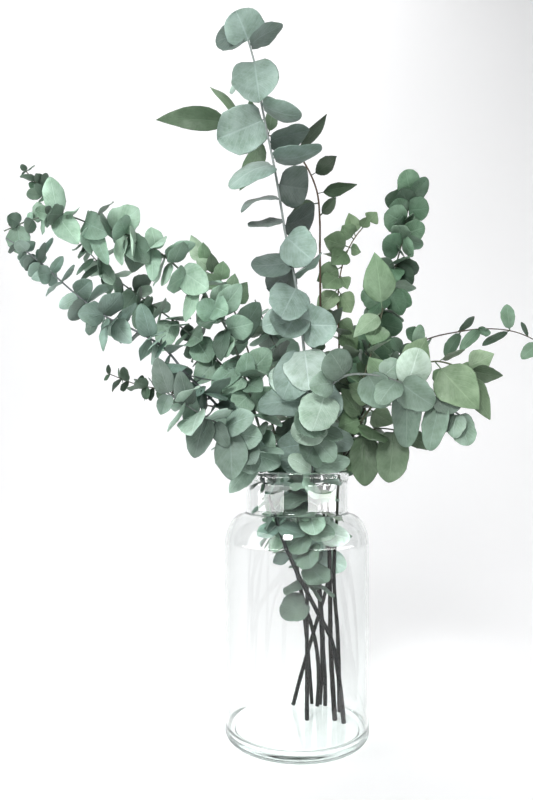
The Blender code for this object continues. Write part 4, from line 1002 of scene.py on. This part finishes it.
class Bundle:
    """Collects closed shapes with a map, an underside mark and a colour, then makes one mesh."""

    def __init__(self):
        self.parts = []
        self.count = 0

    def add(self, points, faces, maps, under, tone):
        """Each corner map holds the place on the blade and how light the tone is there; on blades that
        lightness is partly painted light and shade.
        """
        tones = np.ones((*faces.shape, 4))
        tones[..., :3] = np.array(tone) * maps[..., 2:]
        self.parts.append((points, faces + self.count, maps[..., :2], under, tones))
        self.count += len(points)

    def build(self, name, shader):
        points, faces, maps, under, tones = (np.concatenate(kind) for kind in zip(*self.parts))
        mesh = bpy.data.meshes.new(name)
        mesh.vertices.add(len(points))
        mesh.vertices.foreach_set("co", points.ravel())
        mesh.loops.add(faces.size)
        mesh.loops.foreach_set("vertex_index", faces.ravel())
        mesh.polygons.add(len(faces))
        mesh.polygons.foreach_set("loop_start", np.arange(len(faces)) * 4)
        mesh.update(calc_edges=True)
        mesh.shade_smooth()
        mesh.uv_layers.new(name="LeafMap").uv.foreach_set("vector", maps.ravel().astype(np.float32))
        mark = mesh.attributes.new("under", "FLOAT", "FACE")
        mark.data.foreach_set("value", under.astype(np.float32))
        # The tone holds each corner's colour with the painted light and shade of the leaves
        tone = mesh.attributes.new("tone", "FLOAT_COLOR", "CORNER")
        tone.data.foreach_set("color", tones.ravel().astype(np.float32))
        mesh.validate()
        mesh.materials.append(shader)
        return placed(name, mesh)


# Fine stems: sides, size over the solid's above and in the bottle, distance between swellings and their
# share of the radius, and how dark the stems get below this height in the bottle
STEM_RING = 10
STEM_RINGS_APART = 0.004
MAP_PER_METRE = 20
CAP_MAP = ((0.5, 0), (0.5, 0.1), (0.6, 0.1), (0.6, 0))
SLIM = 0.95
THICK = 1.12
THICKER_OVER = 0.12
NODES_APART = 0.026
SWELLING = 0.12
SWELLING_LENGTH = 0.0025
DARK_FOOT = 0.04
DARK_BELOW = 0.21
DARK_FADE = 0.19


def fine_stem(shoot, knots, rng):
    """(points, faces, maps, under, curve) of a round tapering stem with slight swellings."""
    curve = smooth_line([Vector(k) for k in knots], STEM_RINGS_APART)
    if shoot.route[0][1] > MAIN_STEM_PX:
        curve[0, 2] = GLASS_FLOOR + SEAT_GAP + shoot.radii[0] * 0.35
    in_bottle = np.clip((BOTTLE_HEIGHT - curve[:, 2]) / THICKER_OVER, 0, 1)
    radii = radii_along(shoot, len(curve)) * (SLIM + (THICK - SLIM) * in_bottle)
    along = np.arange(len(curve)) * STEM_RINGS_APART
    swell = SWELLING * np.exp(-(((along % NODES_APART) - NODES_APART / 2) / SWELLING_LENGTH) ** 2)
    radii = radii * (1 + swell) + rng.uniform(-0.00003, 0.00003)
    angles = np.linspace(0, 2 * math.pi, STEM_RING, endpoint=False)
    points = [[curve[0]]]
    for centre, radius, (_, side, up) in zip(curve, radii, frames_along(curve)):
        points.append(np.array(centre) + radius * (np.cos(angles)[:, None] * np.array(side)
                                                   + np.sin(angles)[:, None] * np.array(up)))
    points = np.concatenate([*points, [curve[-1]]])
    corner = np.arange(STEM_RING + 1)
    rings = np.arange(len(curve))[:, None]
    sides = cells(1 + rings * STEM_RING + corner % STEM_RING)
    sides_map = cells(np.stack(np.broadcast_arrays(corner / STEM_RING, along[:, None] * MAP_PER_METRE),
                               axis=-1))
    last = len(points) - 1
    end = last - STEM_RING
    caps = []
    for k in range(0, STEM_RING, 2):
        n, m = (k + 1) % STEM_RING, (k + 2) % STEM_RING
        caps += [(0, 1 + m, 1 + n, 1 + k), (last, end + k, end + n, end + m)]
    faces = np.concatenate([sides, caps])
    maps = np.concatenate([sides_map, [CAP_MAP] * len(caps)])
    dark = DARK_FOOT + (1 - DARK_FOOT) * np.clip((points[faces][..., 2:] - DARK_BELOW) / DARK_FADE, 0, 1)
    return points, faces, np.concatenate([maps, dark], axis=-1), np.zeros(len(faces)), curve


def shader_tree(name):
    made = bpy.data.materials.new(name)
    made.use_nodes = True
    return made, made.node_tree, made.node_tree.nodes["Principled BSDF"]


def feed(tree, node, inputs):
    """Sets each named input to a number or a colour, or links it to another node's output."""
    for name, value in inputs.items():
        socket = node.inputs[name]
        if isinstance(value, bpy.types.NodeSocket):
            tree.links.new(value, socket)
        elif isinstance(value, (int, float)):
            socket.default_value = value
        else:
            socket.default_value = (*value[:3], 1)


def add_node(tree, kind, inputs=None, **settings):
    node = tree.nodes.new("ShaderNode" + kind)
    for name, value in settings.items():
        setattr(node, name, value)
    feed(tree, node, inputs or {})
    return node


def math_node(tree, operation, first, second=None, clamp=False):
    inputs = {0: first} if second is None else {0: first, 1: second}
    return add_node(tree, "Math", inputs, operation=operation, use_clamp=clamp).outputs[0]


def times(tree, first, second):
    return math_node(tree, "MULTIPLY", first, second)


def mixed(tree, share, first, second, blend="MIX"):
    inputs = {"Factor": share, "A": first, "B": second}
    return add_node(tree, "Mix", inputs, data_type="RGBA", blend_type=blend).outputs["Result"]


def place_axes(tree, coordinates):
    """X, Y and Z of these coordinates."""
    source = add_node(tree, "TexCoord").outputs[coordinates]
    return add_node(tree, "SeparateXYZ", {0: source}).outputs


def noise_node(tree, scale, detail):
    """Noise over the object's own space, at so many patches a metre."""
    space = add_node(tree, "TexCoord").outputs["Object"]
    return add_node(tree, "TexNoise", {"Scale": scale, "Detail": detail, "Vector": space}).outputs[0]


def contrast(tree, value, low, high):
    """Stretches the range from low to high over 0 to 1."""
    return add_node(tree, "MapRange", {"From Min": low, "From Max": high, "Value": value}).outputs[0]


# Leaf surface: patches a metre, how narrow the midrib is, how the side veins run, and the bump's depth
CLOUD_SCALE = 95
SPECK_SCALE = 420
RIB_NARROW = 30.0
VEIN_SLANT = 0.85
VEIN_WAVER = 0.035
VEIN_WAVES = 54.0
VEIN_NARROW = 10.0
BUMP_DEPTH = 0.0005


def leaf_shader(name, gloss):
    """Waxy leaf: its tone from the mesh, which holds painted light and shade, pale midrib and side veins,
    clouded bloom, paler underside.
    """
    made, tree, shader = shader_tree(name)
    uv = add_node(tree, "UVMap", uv_map="LeafMap").outputs[0]
    across, along, _ = add_node(tree, "SeparateXYZ", {0: uv}).outputs
    tone = add_node(tree, "Attribute", attribute_name="tone").outputs["Color"]
    under = add_node(tree, "Attribute", attribute_name="under").outputs["Fac"]
    clouds = contrast(tree, noise_node(tree, CLOUD_SCALE, 3), 0.34, 0.66)
    specks = contrast(tree, noise_node(tree, SPECK_SCALE, 3), 0.32, 0.68)
    off = math_node(tree, "ABSOLUTE", math_node(tree, "SUBTRACT", across, 0.5))
    rib = math_node(tree, "SUBTRACT", 1.0, times(tree, off, RIB_NARROW), True)
    slant = math_node(tree, "SUBTRACT", along, times(tree, off, VEIN_SLANT))
    slant = math_node(tree, "ADD", slant, times(tree, clouds, VEIN_WAVER))
    wave = math_node(tree, "SINE", times(tree, slant, VEIN_WAVES))
    veins = math_node(tree, "POWER", math_node(tree, "MAXIMUM", wave, 0.0), VEIN_NARROW)
    pale = mixed(tree, 1.0, tone, (1.34, 1.28, 1.34), "MULTIPLY")
    dark = mixed(tree, 1.0, tone, (0.66, 0.72, 0.64), "MULTIPLY")
    base = mixed(tree, times(tree, clouds, 0.62), dark, pale)
    for mark, share, colour in ((specks, 0.42, tone), (veins, 0.30, pale), (rib, 0.75, pale)):
        base = mixed(tree, times(tree, mark, share), base, colour)
    lower = mixed(tree, 0.35, base, (0.42, 0.50, 0.44))
    colour = mixed(tree, times(tree, under, 0.5), base, lower)
    height = times(tree, veins, 0.6)
    for mark, share in ((clouds, 0.6), (rib, 1.2), (specks, 0.45)):
        height = math_node(tree, "ADD", height, times(tree, mark, share))
    bump = add_node(tree, "Bump", {"Strength": 0.6, "Distance": BUMP_DEPTH, "Height": height})
    feed(tree, shader, {"Base Color": colour, "Roughness": gloss, "Specular IOR Level": 0.35,
                        "Normal": bump.outputs[0]})
    return made


def stem_shader():
    """Smooth bark with darker flecks."""
    made, tree, shader = shader_tree("stem_bark")
    tone = add_node(tree, "Attribute", attribute_name="tone").outputs["Color"]
    dark = mixed(tree, 1.0, tone, (0.55, 0.52, 0.5), "MULTIPLY")
    flecked = mixed(tree, noise_node(tree, 220, 3), tone, dark)
    feed(tree, shader, {"Base Color": flecked, "Roughness": 0.65, "Specular IOR Level": 0.15})
    return made


# Glass: share of painted grey at grazing edges, the same in the thick foot and how high that reaches, and
# how much the glass takes up. The painted grey stands for the darker room that the edges reflect and bend,
# and partly for the glass's own grey-green where it is thick.
GLASS_EDGE_SHADE = 0.6
FOOT_EDGE_SHADE = 9.0
FOOT_TOP = 0.0096
GLASS_DENSITY = 6.0


def glass_shader():
    """Clear glass that is faintly grey-green where it is thick, with painted shade at its grazing edges and
    round its foot. Lamps shine through it.
    """
    made, tree, shader = shader_tree("clear_glass")
    # Painted shade: grey where the surface is seen edge-on and in the foot, for the darker room that the
    # glass reflects and bends there
    grazing = add_node(tree, "LayerWeight", {"Blend": 0.5}).outputs["Facing"]
    edge_shade = times(tree, math_node(tree, "POWER", grazing, 3.0), GLASS_EDGE_SHADE)
    height = place_axes(tree, "Object")[2]
    foot = math_node(tree, "SUBTRACT", 1.0, times(tree, height, 1 / FOOT_TOP), True)
    foot = times(tree, times(tree, foot, FOOT_EDGE_SHADE), math_node(tree, "POWER", grazing, 4.5))
    edge_shade = math_node(tree, "ADD", edge_shade, foot, True)
    tint = mixed(tree, edge_shade, (0.985, 0.992, 0.99), (0.45, 0.53, 0.50))
    feed(tree, shader, {"Base Color": tint, "Roughness": 0.0, "IOR": 1.47, "Transmission Weight": 1.0})
    clear = add_node(tree, "BsdfTransparent", {"Color": (0.96, 0.975, 0.97)})
    shadow = add_node(tree, "LightPath").outputs["Is Shadow Ray"]
    either = add_node(tree, "MixShader", {0: shadow, 1: shader.outputs[0], 2: clear.outputs[0]})
    thick = add_node(tree, "VolumeAbsorption", {"Color": (0.55, 0.64, 0.61), "Density": GLASS_DENSITY})
    feed(tree, tree.nodes["Material Output"], {"Surface": either.outputs[0], "Volume": thick.outputs[0]})
    return made


# How light single leaves are: (tip px, tip py, share of their usual lightness). The shares are partly the
# leaf's own tone and partly painted light and shade, paler where a leaf is lit and darker where it lies in
# shadow. A mark holds for a leaf whose tip is this near to it in the view.
LIGHT_REACH = 9
LEAF_LIGHT_AND_SHADE = {
    "tall": ((236, 8, 1.25), (283, 25, 0.55), (259, 100, 0.80), (216, 139, 1.15), (301, 114, 0.72),
             (310, 130, 0.50), (322, 147, 0.85), (229, 189, 1.0), (308, 189, 0.30), (240, 209, 0.50),
             (248, 226, 0.40), (314, 214, 0.28), (312, 260, 1.20), (251, 268, 0.46), (267, 288, 0.28),
             (323, 255, 0.80), (280, 314, 1.25), (281, 336, 0.62), (337, 324, 1.25), (311, 390, 1.65),
             (281, 400, 1.05), (342, 412, 1.30), (314, 468, 1.55),
             (348, 460, 0.70), (353, 536, 1.9), (346, 568, 1.25)),
    "front": ((309, 386, 0.95), (330, 352, 0.62), (387, 409, 0.85), (434, 405, 0.8), (281, 618, 0.32),
              (408, 448, 0.7), (421, 349, 1.7), (378, 406, 1.5), (316, 431, 1.3), (299, 444, 1.65),
              (288, 459, 1.45), (350, 459, 0.85), (334, 463, 0.9)),
    "pointed_right": ((477, 412, 0.92), (372, 356, 1.1), (348, 386, 0.75),
                      (340, 426, 0.95), (394, 424, 0.65)),
    "left_upper": ((51, 178, 1.2), (78, 247, 1.1), (140, 210, 1.2), (149, 263, 0.5), (153, 281, 1.3),
                   (208, 288, 1.2), (242, 285, 1.2), (261, 303, 0.45), (234, 410, 1.2)),
    "right_low": ((391, 484, 0.58), (364, 487, 0.50), (377, 441, 0.70), (320, 448, 1.1)),
}
# Where the bottle's rim and shoulder are in the view
RIM_PX = 473
SHOULDER_PX = 550
# Lightness of leaves without a mark, by chance, and how much bright leaves are greyed toward white, which
# is partly painted light on leaves painted as lit
LIGHT_STEPS = (0.42, 0.66, 0.88, 1.0, 1.14, 1.40)
LIGHT_SPREAD = (0.92, 1.08)
GREYING_RATE = 0.5
MOST_GREYING = 0.4


def leaf_lightness_and_painted_light(leaf, rng):
    """Share of the usual lightness: as marked for a leaf with its tip there, partly painted light and
    shade; otherwise by chance, with painted shade in the neck and the bottle.
    """
    tip = as_seen(leaf.root + leaf.along * leaf.length)
    for x, y, light in LEAF_LIGHT_AND_SHADE.get(leaf.shoot, ()):
        if math.dist(tip, (x, y)) < LIGHT_REACH:
            return light
    light = rng.choice(LIGHT_STEPS) * rng.uniform(*LIGHT_SPREAD)
    # Leaves in the bottle and its neck are painted darker, as shade
    if tip[1] > SHOULDER_PX:
        return light * IN_BOTTLE_PAINTED_SHADE
    return light * (IN_NECK_PAINTED_SHADE if tip[1] > RIM_PX else 1)


def leaf_colour_and_painted_light(leaf, rng):
    """The leaf's colour: between the two of its shoot, times its lightness, which is partly painted light
    and shade, and greyed toward white where it is bright.
    """
    usual, other, _ = TONES[leaf.shoot]
    share = rng.random() ** 1.6
    bright = leaf_lightness_and_painted_light(leaf, rng)
    tone = [u + (o - u) * share for u, o in zip(linear(usual), linear(other))]
    grey = sum(tone) / 3
    # Bright leaves are greyed toward white, partly as painted light
    greying = max(0.0, min(MOST_GREYING, GREYING_RATE * (bright - 1)))
    return [min(MOST_ALBEDO, (c + (grey - c) * greying) * bright * cast) for c, cast in zip(tone, LEAF_CAST)]


def make_foliage():
    """One piece of leaves and one of stems for each tree."""
    routes = pushed_apart()
    lines = {name: route.points() for name, route in routes.items()}
    stems = {name: coarse_tube(route) for name, route in routes.items()}
    crowd = Crowd(stems, turned_solid(bottle_profile(), BOTTLE_SIDES))
    leaves = all_leaves(lines, crowd)
    silver = leaf_shader("waxy_leaf", 0.52)
    green = leaf_shader("satin_leaf", 0.44)
    bark = stem_shader()
    rng = random.Random(FINE_SEED)
    for tree in dict.fromkeys(s.tree for s in SHOOTS):
        foliage, wood = Bundle(), Bundle()
        curves = {}
        for shoot in (s for s in SHOOTS if s.tree == tree):
            *shape, curves[shoot.name] = fine_stem(shoot, routes[shoot.name].knots, rng)
            wood.add(*shape, linear(TONES[shoot.name][2]))
        for leaf in leaves:
            if leaf.shoot in curves:
                curve = curves[leaf.shoot]
                nearest = np.linalg.norm(curve - np.array(leaf.root), axis=1).argmin()
                leaf.root = Vector(curve[nearest])
                foliage.add(*fine_blade(leaf, rng), leaf_colour_and_painted_light(leaf, rng))
        is_green = tree in GREEN_TREES
        for piece in (foliage.build(tree + "_leaves", green if is_green else silver),
                      wood.build(tree + "_wood", bark)):
            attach(piece, "root")
            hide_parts(tree)


# Fine glass: sides, distance of the rings that hold straight runs, rounds at neck, flare and lip, and
# the shallow ring round the inner floor
GLASS_SIDES = 144
SHOULDER_STEPS = 40
HELD = 0.0012
NECK_FILLET = 0.0048
FLARE_RISES = (0.003, 0.0045, 0.006, 0.009)
LIP_HALF = 0.0024
FLOOR_EDGE = 0.0728
FLOOR_BEND = 0.0016
MOAT = 0.0014


def bend(start, corner, end, steps):
    """Points of a smooth bend from start to end that leans on the corner, both ends included."""
    points = []
    for k in range(steps + 1):
        t = k / steps
        points.append(tuple((1 - t) ** 2 * a + 2 * t * (1 - t) * b + t * t * c
                            for a, b, c in zip(start, corner, end)))
    return points


def shoulder_curve(radius, bottom):
    """The shoulder from its lowest point up to where the bend into the neck starts."""
    points = shoulder_points(radius, bottom, np.linspace(0, math.pi / 2, SHOULDER_STEPS))
    return [(r, z) for r, z in points if r > radius + NECK_FILLET]


def fine_outline():
    """The solid's outline with smooth rounds. Close rings hold the straight runs straight."""
    inner_body = BODY_RADIUS - GLASS_WALL
    inner_neck = NECK_RADIUS - GLASS_WALL
    fillet_top = SHOULDER_TOP + NECK_FILLET
    low, half, high, full = (FLARE_START + rise for rise in FLARE_RISES)
    half_flare = ((NECK_RADIUS + LIP_RADIUS) / 2, half)
    outer = [(0.0, 0.0), (BODY_RADIUS - FOOT_ROUND - HELD, 0.0)]
    outer += arc(BODY_RADIUS - FOOT_ROUND, FOOT_ROUND, FOOT_ROUND, -90, 0, 10)
    outer += [(BODY_RADIUS, FOOT_ROUND + HELD), (BODY_RADIUS, SHOULDER_BOTTOM - HELD)]
    rise = shoulder_curve(NECK_RADIUS, SHOULDER_BOTTOM)
    outer += rise[:-1]
    outer += bend(rise[-1], (NECK_RADIUS, SHOULDER_TOP), (NECK_RADIUS, fillet_top), 8)
    outer += [(NECK_RADIUS, fillet_top + HELD), (NECK_RADIUS, FLARE_START - HELD)]
    outer += bend((NECK_RADIUS, FLARE_START), (NECK_RADIUS, low), half_flare, 4)
    outer += bend(half_flare, (LIP_RADIUS, high), (LIP_RADIUS, full), 4)[1:]
    outer += arc(LIP_RADIUS - LIP_HALF, BOTTLE_HEIGHT - LIP_HALF, LIP_HALF, 0, 180, 12)
    inner = [(inner_neck, FLARE_START), (inner_neck, FLARE_START - HELD), (inner_neck, fillet_top + HELD)]
    rise = shoulder_curve(inner_neck, INNER_SHOULDER_BOTTOM)
    inner += bend((inner_neck, fillet_top), (inner_neck, SHOULDER_TOP - INNER_DROP), rise[-1], 8)
    inner += reversed(rise[:-1])
    inner += [(inner_body, INNER_SHOULDER_BOTTOM - HELD), (inner_body, GLASS_FLOOR + FOOT_ROUND + HELD)]
    inner += reversed(arc(inner_body - FOOT_ROUND, GLASS_FLOOR + FOOT_ROUND, FOOT_ROUND, -60, 0, 8))
    inner += bend((inner_body - FOOT_ROUND * 0.5, GLASS_FLOOR + 0.0008),
                  (FLOOR_EDGE + 0.003, GLASS_FLOOR - MOAT), (FLOOR_EDGE + 0.001, GLASS_FLOOR - MOAT), 5)[1:]
    inner += bend((FLOOR_EDGE + 0.0005, GLASS_FLOOR - MOAT * 0.8), (FLOOR_EDGE, GLASS_FLOOR),
                  (FLOOR_EDGE - FLOOR_BEND, GLASS_FLOOR), 5)
    inner += [(FLOOR_EDGE - FLOOR_BEND - HELD, GLASS_FLOOR), (0.0, GLASS_FLOOR)]
    return outer + inner


def make_bottle():
    points, faces = turned_solid(fine_outline(), GLASS_SIDES)
    mesh = bpy.data.meshes.new("clear_bottle")
    mesh.from_pydata([tuple(p) for p in points], [], faces)
    mesh.validate()
    mesh.shade_smooth()
    mesh.materials.append(glass_shader())
    bottle = placed("clear_bottle", mesh)
    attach(bottle, "root")
    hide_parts("glass_bottle")


# Light of the room, how far it darkens at the sides, from where, how steeply and up to what height
ROOM_LIGHT = 0.22
SIDE_DARK = 0.85
SIDE_START = 0.45
SIDE_STEEPNESS = 3.0
SIDE_TOP = 1 / 1.6


def room_light():
    """A pale room, darker at the sides, so that the edges of the glass show."""
    world = bpy.data.worlds.new("pale_room")
    world.use_nodes = True
    tree = world.node_tree
    x, _, z = place_axes(tree, "Generated")
    side = math_node(tree, "ABSOLUTE", x)
    side = math_node(tree, "MULTIPLY", math_node(tree, "SUBTRACT", side, SIDE_START), SIDE_STEEPNESS, True)
    low = math_node(tree, "SUBTRACT", 1.0, times(tree, z, 1 / SIDE_TOP), True)
    dark = times(tree, times(tree, side, low), SIDE_DARK)
    strength = math_node(tree, "SUBTRACT", ROOM_LIGHT, times(tree, dark, ROOM_LIGHT))
    feed(tree, tree.nodes["Background"], {"Strength": strength, "Color": (0.97, 0.985, 1)})
    return world


# The floor is two sheets that meet in front of the bottle, just below its foot. The far one turns up
# into the backdrop.
SHEET_HALF_WIDTH = 3.0
FLOOR_Z = -0.0003
FLOOR_FRONT = -2.2
FLOOR_SEAM = -0.16
SWEEP_START = 1.3
SWEEP_ROUND = 0.6
SWEEP_TOP = 3.2


def sheet(name, rows, shader):
    """A wide white sheet along X through the given (y, z) rows."""
    points = [(x, y, z) for y, z in rows for x in (-SHEET_HALF_WIDTH, SHEET_HALF_WIDTH)]
    faces = [(2 * k, 2 * k + 1, 2 * k + 3, 2 * k + 2) for k in range(len(rows) - 1)]
    mesh = bpy.data.meshes.new(name)
    mesh.from_pydata(points, [], faces)
    mesh.shade_smooth()
    mesh.materials.append(shader)
    made = placed(name, mesh)
    return made


def make_sheets():
    """White floor that runs up into a white backdrop."""
    made, tree, shader = shader_tree("white_card")
    feed(tree, shader, {"Base Color": (0.93, 0.93, 0.935), "Roughness": 0.9, "Specular IOR Level": 0.1,
                        "Emission Color": (1, 1, 1), "Emission Strength": 0.12})
    rows = [(FLOOR_SEAM, FLOOR_Z), (SWEEP_START, FLOOR_Z)]
    rows += [(SWEEP_START + SWEEP_ROUND * math.sin(a), SWEEP_ROUND - SWEEP_ROUND * math.cos(a))
             for a in np.linspace(0.15, 1.571, 10)]
    rows += [(SWEEP_START + SWEEP_ROUND, SWEEP_TOP)]
    sheet("white_sweep", rows, made)
    sheet("front_floor", [(FLOOR_FRONT, FLOOR_Z), (FLOOR_SEAM, FLOOR_Z)], made).visible_glossy = False


# Soft lamps: name, place, what they face, size, power
LAMPS = (
    ("left_window", (-1.45, -0.75, 0.76), (0, 0, 0.60), (1.30, 1.10), 12),
    ("right_window", (1.40, -0.95, 0.68), (0, 0, 0.55), (1.10, 0.95), 6),
    ("key_window", (-0.55, -1.7, 1.35), (0, 0, 0.45), (0.5, 0.5), 28),
    ("right_wash", (1.7, 0.75, 0.6), (0.7, 1.9, 0.35), (1.0, 1.0), 2.2),
    ("top_card", (-0.6, 0.9, 2.8), (-0.6, 0.9, 0), (2.2, 1.6), 28),
)
# Low bright strips that the glass reflects: name, turn about Z, width, middle height, height, brightness
GLEAM_AWAY = 1.6
GLEAMS = (
    ("left_gleam", -64, 2.1, 0.16, 0.095, 13.0),
    ("right_gleam", 57, 2.3, 0.16, 0.095, 18.0),
    ("left_haze", -50, 2.4, 0.245, 0.07, 4.5),
    ("right_haze", 52, 2.4, 0.245, 0.07, 4.5),
)


def area_lamp(name, place, target, size, power):
    lamp = bpy.data.lights.new(name, "AREA")
    lamp.shape = "RECTANGLE"
    lamp.size, lamp.size_y = size
    lamp.energy = power
    made = placed(name, lamp)
    made.location = place
    made.rotation_euler = (Vector(target) - Vector(place)).to_track_quat("-Z", "Y").to_euler()
    return made


def make_lamps():
    for lamp in LAMPS:
        area_lamp(*lamp)
    for name, turn, width, middle, height, bright in GLEAMS:
        turn = math.radians(turn)
        place = (GLEAM_AWAY * math.sin(turn), -GLEAM_AWAY * math.cos(turn), middle)
        gleam = area_lamp(name, place, (0, 0, middle), (width, height), bright * math.pi * width * height)
        gleam.visible_diffuse = False
        gleam.visible_transmission = False


PHOTO_HEIGHT_PX = 800
SENSOR = 36
GLASS_BOUNCES = 32


def make_camera():
    """The level camera of the photo, with light paths long enough for the glass."""
    data = bpy.data.cameras.new("level_view")
    data.lens = VIEW_FOCAL_PX / PHOTO_HEIGHT_PX * SENSOR
    data.sensor_width = SENSOR
    data.shift_y = (VIEW_CENTRE_PX[1] - PHOTO_HEIGHT_PX / 2) / PHOTO_HEIGHT_PX
    data.clip_end = 30
    camera = placed("level_view", data)
    camera.location = EYE
    camera.rotation_euler = (math.radians(90), 0, 0)
    scene = bpy.context.scene
    scene.camera = camera
    scene.view_settings.view_transform = "Standard"
    scene.cycles.max_bounces = GLASS_BOUNCES
    scene.cycles.transmission_bounces = GLASS_BOUNCES
    scene.cycles.glossy_bounces = GLASS_BOUNCES


make_foliage()
make_bottle()
make_sheets()
bpy.context.scene.world = room_light()
make_lamps()
make_camera()
